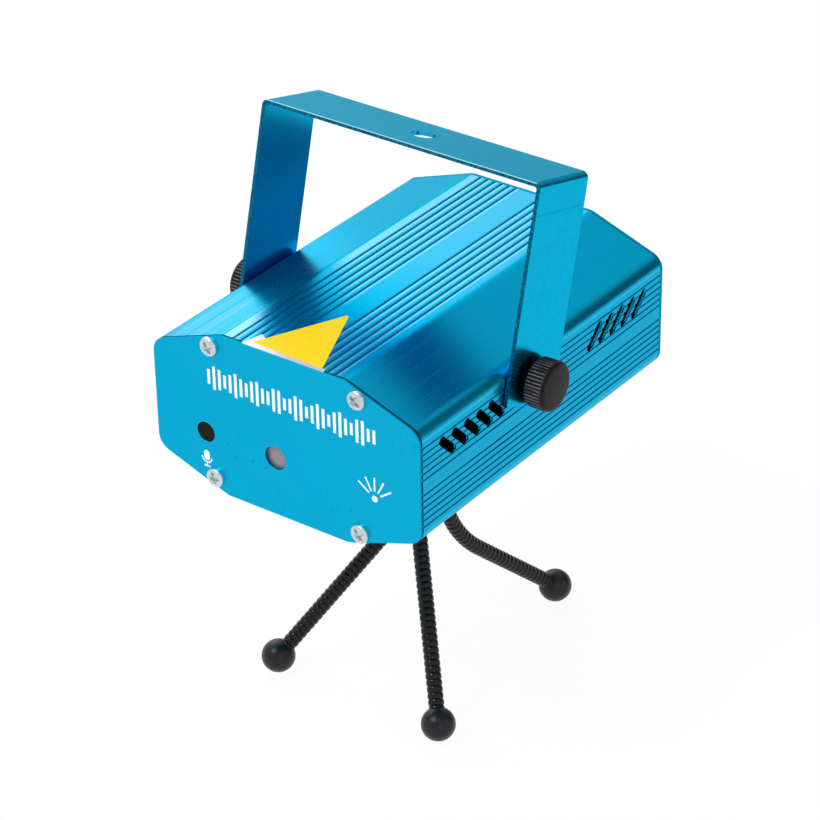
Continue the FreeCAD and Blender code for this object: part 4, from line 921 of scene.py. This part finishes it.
def placedCopies():  # one object copied to points, each turned by its point's angle; facing 1 front, -1 rear
    t = Shape("placedCopies", Template=None, Facing=1.0, Material=screwSteel)
    turn = t.node("GeometryNodeInputNamedAttribute", {"data_type": "FLOAT"}, {"Name": "turn"})
    spin = t.node("ShaderNodeCombineXYZ", inputs=(t.get("Facing") * (math.pi / 2), -turn, 0.0))
    model = t.node("GeometryNodeObjectInfo", inputs={"Object": t.get("Template")}, pick="Geometry")
    copies = {"Points": t.get("Geometry"), "Instance": model, "Rotation": spin}
    t.close(t.node("GeometryNodeInstanceOnPoints", inputs=copies))
    return t


def addScrews(sets, form):
    tree = placedCopies()
    for name, s in sets.items():
        template = newPiece("screwTemplate", screwMesh(s, form), screwSteel)
        spots = bpy.data.meshes.new(f"{name}Spots")
        spots.from_pydata([caseMiddle + Vector((x, s["seat"], z)) * mm for x, z, a in s["spots"]], [], [])
        turns = spots.attributes.new("turn", "FLOAT", "POINT")
        for item, (x, z, a) in zip(turns.data, s["spots"]):
            item.value = math.radians(a)
        screws = tree.run(name, spots, Template=template, Facing=s["facing"])
        bpy.data.objects.remove(template)
        smooth(screws, form["smooth"])
        standIn(screws, s["node"], "housing")
    print("screws made")


addScrews(plateScrews, screwForm)

# turned pieces with ridged rims: clamp knobs, lock wheel and speed knob
clampKnob = {
    "profile": (
        (0, 0), (5.6, 0), (5.6, 0.1), (6.7, 0.1), (7.15, 0.3), (7.35, 0.8), (7.35, 5.5), (7.2, 6.0), (6.7, 6.45),
        (5.9, 6.62), (3.0, 6.82), (0, 6.9),
    ),
    "face": 48.45,
    "ridges": 44,
    "depth": 0.34,
    "ridgeFrom": 0.3,
    "ridgeTo": 5.6,
    "pivot": (-8.5, 10.0),
}
lockWheel = {
    "profile": ((3.4, 0), (9.2, 0), (9.8, 0.3), (10, 0.9), (10, 4.1), (9.8, 4.7), (9.2, 5), (3.4, 5)),
    "ridges": 48,
    "depth": 0.35,
    "ridgeFrom": 0.6,
    "ridgeTo": 4.4,
    "spot": (0, 5.0, -30.9),
}
speedKnob = {
    "profile": ((0, 0), (6.6, 0), (7, 0.4), (7, 6.2), (6.8, 6.9), (6.2, 7.5), (5.2, 7.75), (4.8, 7.6), (0, 7.55)),
    "ridges": 40,
    "depth": 0.3,
    "ridgeFrom": 0.5,
    "ridgeTo": 6.6,
    "spot": (-33, 62.4, 7.0),
}
ridgeForm = {"around": 288, "along": 90, "sharpness": 1.6, "merge": 0.002, "smooth": 32}


def ridgedTurning(g):
    t = Shape(
        "ridgedTurning", Around=g["around"], Along=g["along"], Ridges=0.0, Depth=0.0, From=0.0, To=0.0,
        Material=knobBlack,
    )
    line = t.node("GeometryNodeMeshToCurve", inputs=(t.get("Geometry"),))
    counts = {"Size X": 1.0, "Size Y": 1.0, "Vertices X": t.get("Along"), "Vertices Y": t.get("Around")}
    grid = t.node("GeometryNodeMeshGrid", inputs=counts)
    x, y = t.split(t.node("GeometryNodeInputPosition"))[:2]
    along, turn = x + 0.5, (y + 0.5) * math.tau
    whole = {"mode": "FACTOR", "use_all_curves": True}
    spot = t.node("GeometryNodeSampleCurve", whole, {"Curves": line, "Factor": along}, pick="Position")
    radius, height = t.split(spot)[::2]
    band = (height - t.get("From")).op("GREATER_THAN", 0.0) * (t.get("To") - height).op("GREATER_THAN", 0.0)
    wave = ((turn * t.get("Ridges")).op("COSINE") * 0.5 + 0.5) ** g["sharpness"]
    ridged = radius - t.get("Depth") * wave * band
    place = t.node("ShaderNodeCombineXYZ", inputs=(ridged * turn.op("COSINE"), ridged * turn.op("SINE"), height))
    shaped = t.node("GeometryNodeSetPosition", inputs={"Geometry": grid, "Position": place})
    t.close(t.node("GeometryNodeMergeByDistance", inputs={"Geometry": shaped, "Distance": g["merge"] * mm}))
    return t


def turnedPiece(tree, name, k, matrix, material=knobBlack):
    piece = tree.run(
        name,
        lineMesh(f"{name}Profile", [(r * mm, 0, h * mm) for r, h in k["profile"]]),
        Ridges=float(k["ridges"]),
        Depth=k["depth"] * mm,
        From=k["ridgeFrom"] * mm,
        To=k["ridgeTo"] * mm,
        Material=material,
    )
    bm = bmesh.new()
    bm.from_mesh(piece.data)
    bmesh.ops.recalc_face_normals(bm, faces=bm.faces)
    bm.to_mesh(piece.data)
    bm.free()
    moved(piece, matrix)
    smooth(piece, ridgeForm["smooth"])
    return piece


def addKnobs():
    tree = ridgedTurning(ridgeForm)
    pivot = clampKnob["pivot"]
    grip = ridgedPlastic(knobRidgeHighlight, pivot)
    for way, sign in (("left", -1), ("right", 1)):
        spot = caseSpot(clampKnob["face"] * sign, *pivot, way)
        knob = turnedPiece(tree, f"{way}ClampKnob", clampKnob, spot, grip)
        standIn(knob, f"{way}_knob", f"{way}_clamp")
    wheel = turnedPiece(tree, "lockWheelRim", lockWheel, caseSpot(*lockWheel["spot"]))
    standIn(wheel, "lock_wheel", "lock_ring")
    dial = turnedPiece(tree, "speedDial", speedKnob, caseSpot(*speedKnob["spot"], "rear"))
    standIn(dial, "speed_knob", "speed_control")
    print("knobs made")


addKnobs()

# prints and stickers: a plain waveform, microphone and beam signs, marks at the rear and a blank yellow sticker
film = 0.03  # thickness of a print
waveform = {
    "spot": (2.3, -60.0, 11.4),
    "bars": 31,
    "pitch": 1.9,
    "width": 0.95,
    "least": 1.6,
    "most": 8.2,
    "waves": ((0.83, 0.9, 0.6), (2.3, 0.0, 0.4)),  # step, phase, share
}
micSign = {  # a bar is half its width, its foot and its top
    "spot": (-28.4, -60.0, -15.2),
    "scale": 1.35,
    "radius": 0.75,
    "upper": 0.6,
    "lower": -0.3,
    "cradle": (1.1, 1.4),
    "stem": (0.15, -2.3, -1.68),
    "base": (0.8, -2.6, -2.3),
}
beamSign = {
    "spot": (30.6, -60.0, -8.2),
    "dot": 1.0,
    "dotSteps": 32,
    "count": 5,
    "spread": 54,
    "radius": 4.6,
    "long": 4.4,
    "wide": 0.5,
}
dialMarks = {
    "spot": (-33, 60.0, 7.0),
    "count": 11,
    "spread": 150,
    "radius": 8.8,
    "long": 1.2,
    "wide": 0.4,
    "pointer": (0.3, 1.4, 4.5),
    "pointerSpot": (-33, 70.0, 7.0),
}
rockerMarks = {
    "spot": (33, 59.9, 7.0),
    "tilt": -98,
    "slope": 8.75,
    "apart": 2.6,
    "lift": 2.1,
    "on": (0.25, -1.2, 1.2),
    "off": (1.15, 0.75),
    "offSteps": 40,
}
sticker = {
    "top": 25.8,
    "corners": ((-11.9, -57.6, 0.6), (12.6, -58.4, 0.6), (0.8, -30.4, 0.6)),
    "backing": ((-14.2, -59.7, 0.4), (14.2, -59.7, 0.4), (13.4, -58.2, 0.4), (-8.0, -55.5, 0.4), (-12.4, -52.6, 0.4)),
    "cornerSteps": 6,
}


def waveBars(w):
    t = Shape(
        "waveBars", Bars=w["bars"], Pitch=w["pitch"] * mm, Width=w["width"] * mm, Least=w["least"] * mm,
        Most=w["most"] * mm, Film=film * 2 * mm, Material=whiteInk,
    )
    step = t.node("ShaderNodeCombineXYZ", inputs=(t.get("Pitch"), 0.0, 0.0))
    first = t.node("ShaderNodeCombineXYZ", inputs=(t.get("Pitch") * (t.get("Bars") - 1) * -0.5, 0.0, 0.0))
    row = t.node("GeometryNodeMeshLine", inputs={"Count": t.get("Bars"), "Start Location": first, "Offset": step})
    index = t.node("GeometryNodeInputIndex")
    swell = 0.0
    for pace, phase, share in w["waves"]:
        swell = (index * pace + phase).op("SINE").op("ABSOLUTE") * share + swell
    tall = t.get("Least") + (t.get("Most") - t.get("Least")) * swell
    size = t.node("ShaderNodeCombineXYZ", inputs=(t.get("Width"), t.get("Film"), tall))
    bar = t.node("GeometryNodeMeshCube", inputs={"Size": (1, 1, 1)})
    t.close(t.node("GeometryNodeInstanceOnPoints", inputs={"Points": row, "Instance": bar, "Scale": size}))
    return t


def radialMarks(r):  # short marks on a ring, spread to both sides of straight up
    spread = math.radians(r["spread"])
    t = Shape(
        "radialMarks", Count=r["count"], Start=-spread, Stop=spread, Radius=r["radius"] * mm, Long=r["long"] * mm,
        Wide=r["wide"] * mm, Film=film * 2 * mm, Material=whiteInk,
    )
    row = t.node("GeometryNodeMeshLine", inputs={"Count": t.get("Count"), "Offset": (0, 0, 0)})
    index = t.node("GeometryNodeInputIndex")
    angle = t.get("Start") + (t.get("Stop") - t.get("Start")) * index / (t.get("Count") - 1)
    place = (angle.op("SINE") * t.get("Radius"), angle.op("COSINE") * t.get("Radius"), 0.0)
    spot = t.node("ShaderNodeCombineXYZ", inputs=place)
    row = t.node("GeometryNodeSetPosition", inputs={"Geometry": row, "Position": spot})
    turn = t.node("ShaderNodeCombineXYZ", inputs=(0.0, 0.0, -angle))
    size = t.node("ShaderNodeCombineXYZ", inputs=(t.get("Wide"), t.get("Long"), t.get("Film")))
    mark = t.node("GeometryNodeMeshCube", inputs={"Size": (1, 1, 1)})
    copies = {"Points": row, "Instance": mark, "Rotation": turn, "Scale": size}
    t.close(t.node("GeometryNodeInstanceOnPoints", inputs=copies))
    return t


def flatMesh(name, loops):  # closed lines in x and y, first the outside and then holes, given the film's thickness
    bm = bmesh.new()
    edges = []
    for loop in loops:
        ring = [bm.verts.new((x * mm, y * mm, 0)) for x, y in loop]
        edges += [bm.edges.new((ring[k], ring[(k + 1) % len(ring)])) for k in range(len(ring))]
    filled = bmesh.ops.triangle_fill(bm, use_beauty=True, edges=edges)["geom"]
    faces = [f for f in filled if isinstance(f, bmesh.types.BMFace)]
    top = bmesh.ops.extrude_face_region(bm, geom=faces)["geom"]
    bmesh.ops.translate(bm, vec=(0, 0, film * mm), verts=[v for v in top if isinstance(v, bmesh.types.BMVert)])
    bmesh.ops.recalc_face_normals(bm, faces=bm.faces)
    mesh = bpy.data.meshes.new(name)
    bm.to_mesh(mesh)
    bm.free()
    return mesh


def arcLine(y, radius, start, stop, steps=20):  # middle on the sign's own upright line
    angles = [math.radians(start + (stop - start) * k / steps) for k in range(steps + 1)]
    return [(radius * math.cos(a), y + radius * math.sin(a)) for a in angles]


def circleLoop(radius, steps):
    return arcLine(0, radius, 0, 360, steps)[:steps]


def barLoop(half, low, high):
    return [(-half, low), (half, low), (half, high), (-half, high)]


def settle(piece, matrix, body="housing"):
    moved(piece, matrix)
    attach(piece, body)


def addPrint(name, loops, matrix, material=whiteInk, body="housing"):
    settle(newPiece(name, flatMesh(name, loops), material), matrix, body)


def addMarks(name, tree, matrix):  # a print made by a tree of repeats
    settle(tree.run(name, lineMesh(f"{name}Row", [(0, 0, 0), (mm, 0, 0)])), matrix)


def addFrontPrints():
    addMarks("waveformPrint", waveBars(waveform), caseSpot(*waveform["spot"]))
    m = micSign
    spot = caseSpot(*m["spot"], "front") @ Matrix.Scale(m["scale"], 4)
    capsule = arcLine(m["upper"], m["radius"], 0, 180) + arcLine(m["lower"], m["radius"], 180, 360)
    addPrint("micSignCapsule", [capsule], spot)
    inner, outer = (arcLine(m["lower"], radius, 180, 360) for radius in m["cradle"])
    addPrint("micSignCradle", [outer + inner[::-1]], spot)
    addPrint("micSignStem", [barLoop(*m["stem"])], spot)
    addPrint("micSignBase", [barLoop(*m["base"])], spot)
    spot = caseSpot(*beamSign["spot"], "front")
    addPrint("beamSignDot", [circleLoop(beamSign["dot"], beamSign["dotSteps"])], spot)
    addMarks("beamSignRays", radialMarks(beamSign), spot)
    print("front prints made")


def addSticker(s):
    backing, blank = (roundedLoop(s[k], s["cornerSteps"]) for k in ("backing", "corners"))
    addPrint("stickerBacking", [backing], caseSpot(0, 0, s["top"]), silverFilm)
    addPrint("blankSticker", [blank], caseSpot(0, 0, s["top"] + film), yellowFilm)
    print("sticker made")


def addRearPrints(d, r):
    upright = Matrix.Rotation(math.pi, 4, "Z")
    addMarks("dialTicks", radialMarks(d), caseSpot(*d["spot"], "rear") @ upright)
    spot = caseSpot(*d["pointerSpot"], "rear") @ upright
    addPrint("dialPointer", [barLoop(*d["pointer"])], spot, body="speed_control")
    face = caseSpot(*r["spot"]) @ Matrix.Rotation(math.radians(r["tilt"]), 4, "X")
    ring = [circleLoop(radius, r["offSteps"]) for radius in r["off"]]
    for name, side, loops in (("rockerOn", -1, [barLoop(*r["on"])]), ("rockerOff", 1, ring)):
        slope = Matrix.Rotation(math.radians(r["slope"]) * side, 4, "X")
        spot = face @ Matrix.Translation(Vector((0, r["apart"] * side, r["lift"])) * mm) @ slope
        addPrint(name, loops, spot, body="power_lever")
    print("rear prints made")


addFrontPrints()
addSticker(sticker)
addRearPrints(dialMarks, rockerMarks)
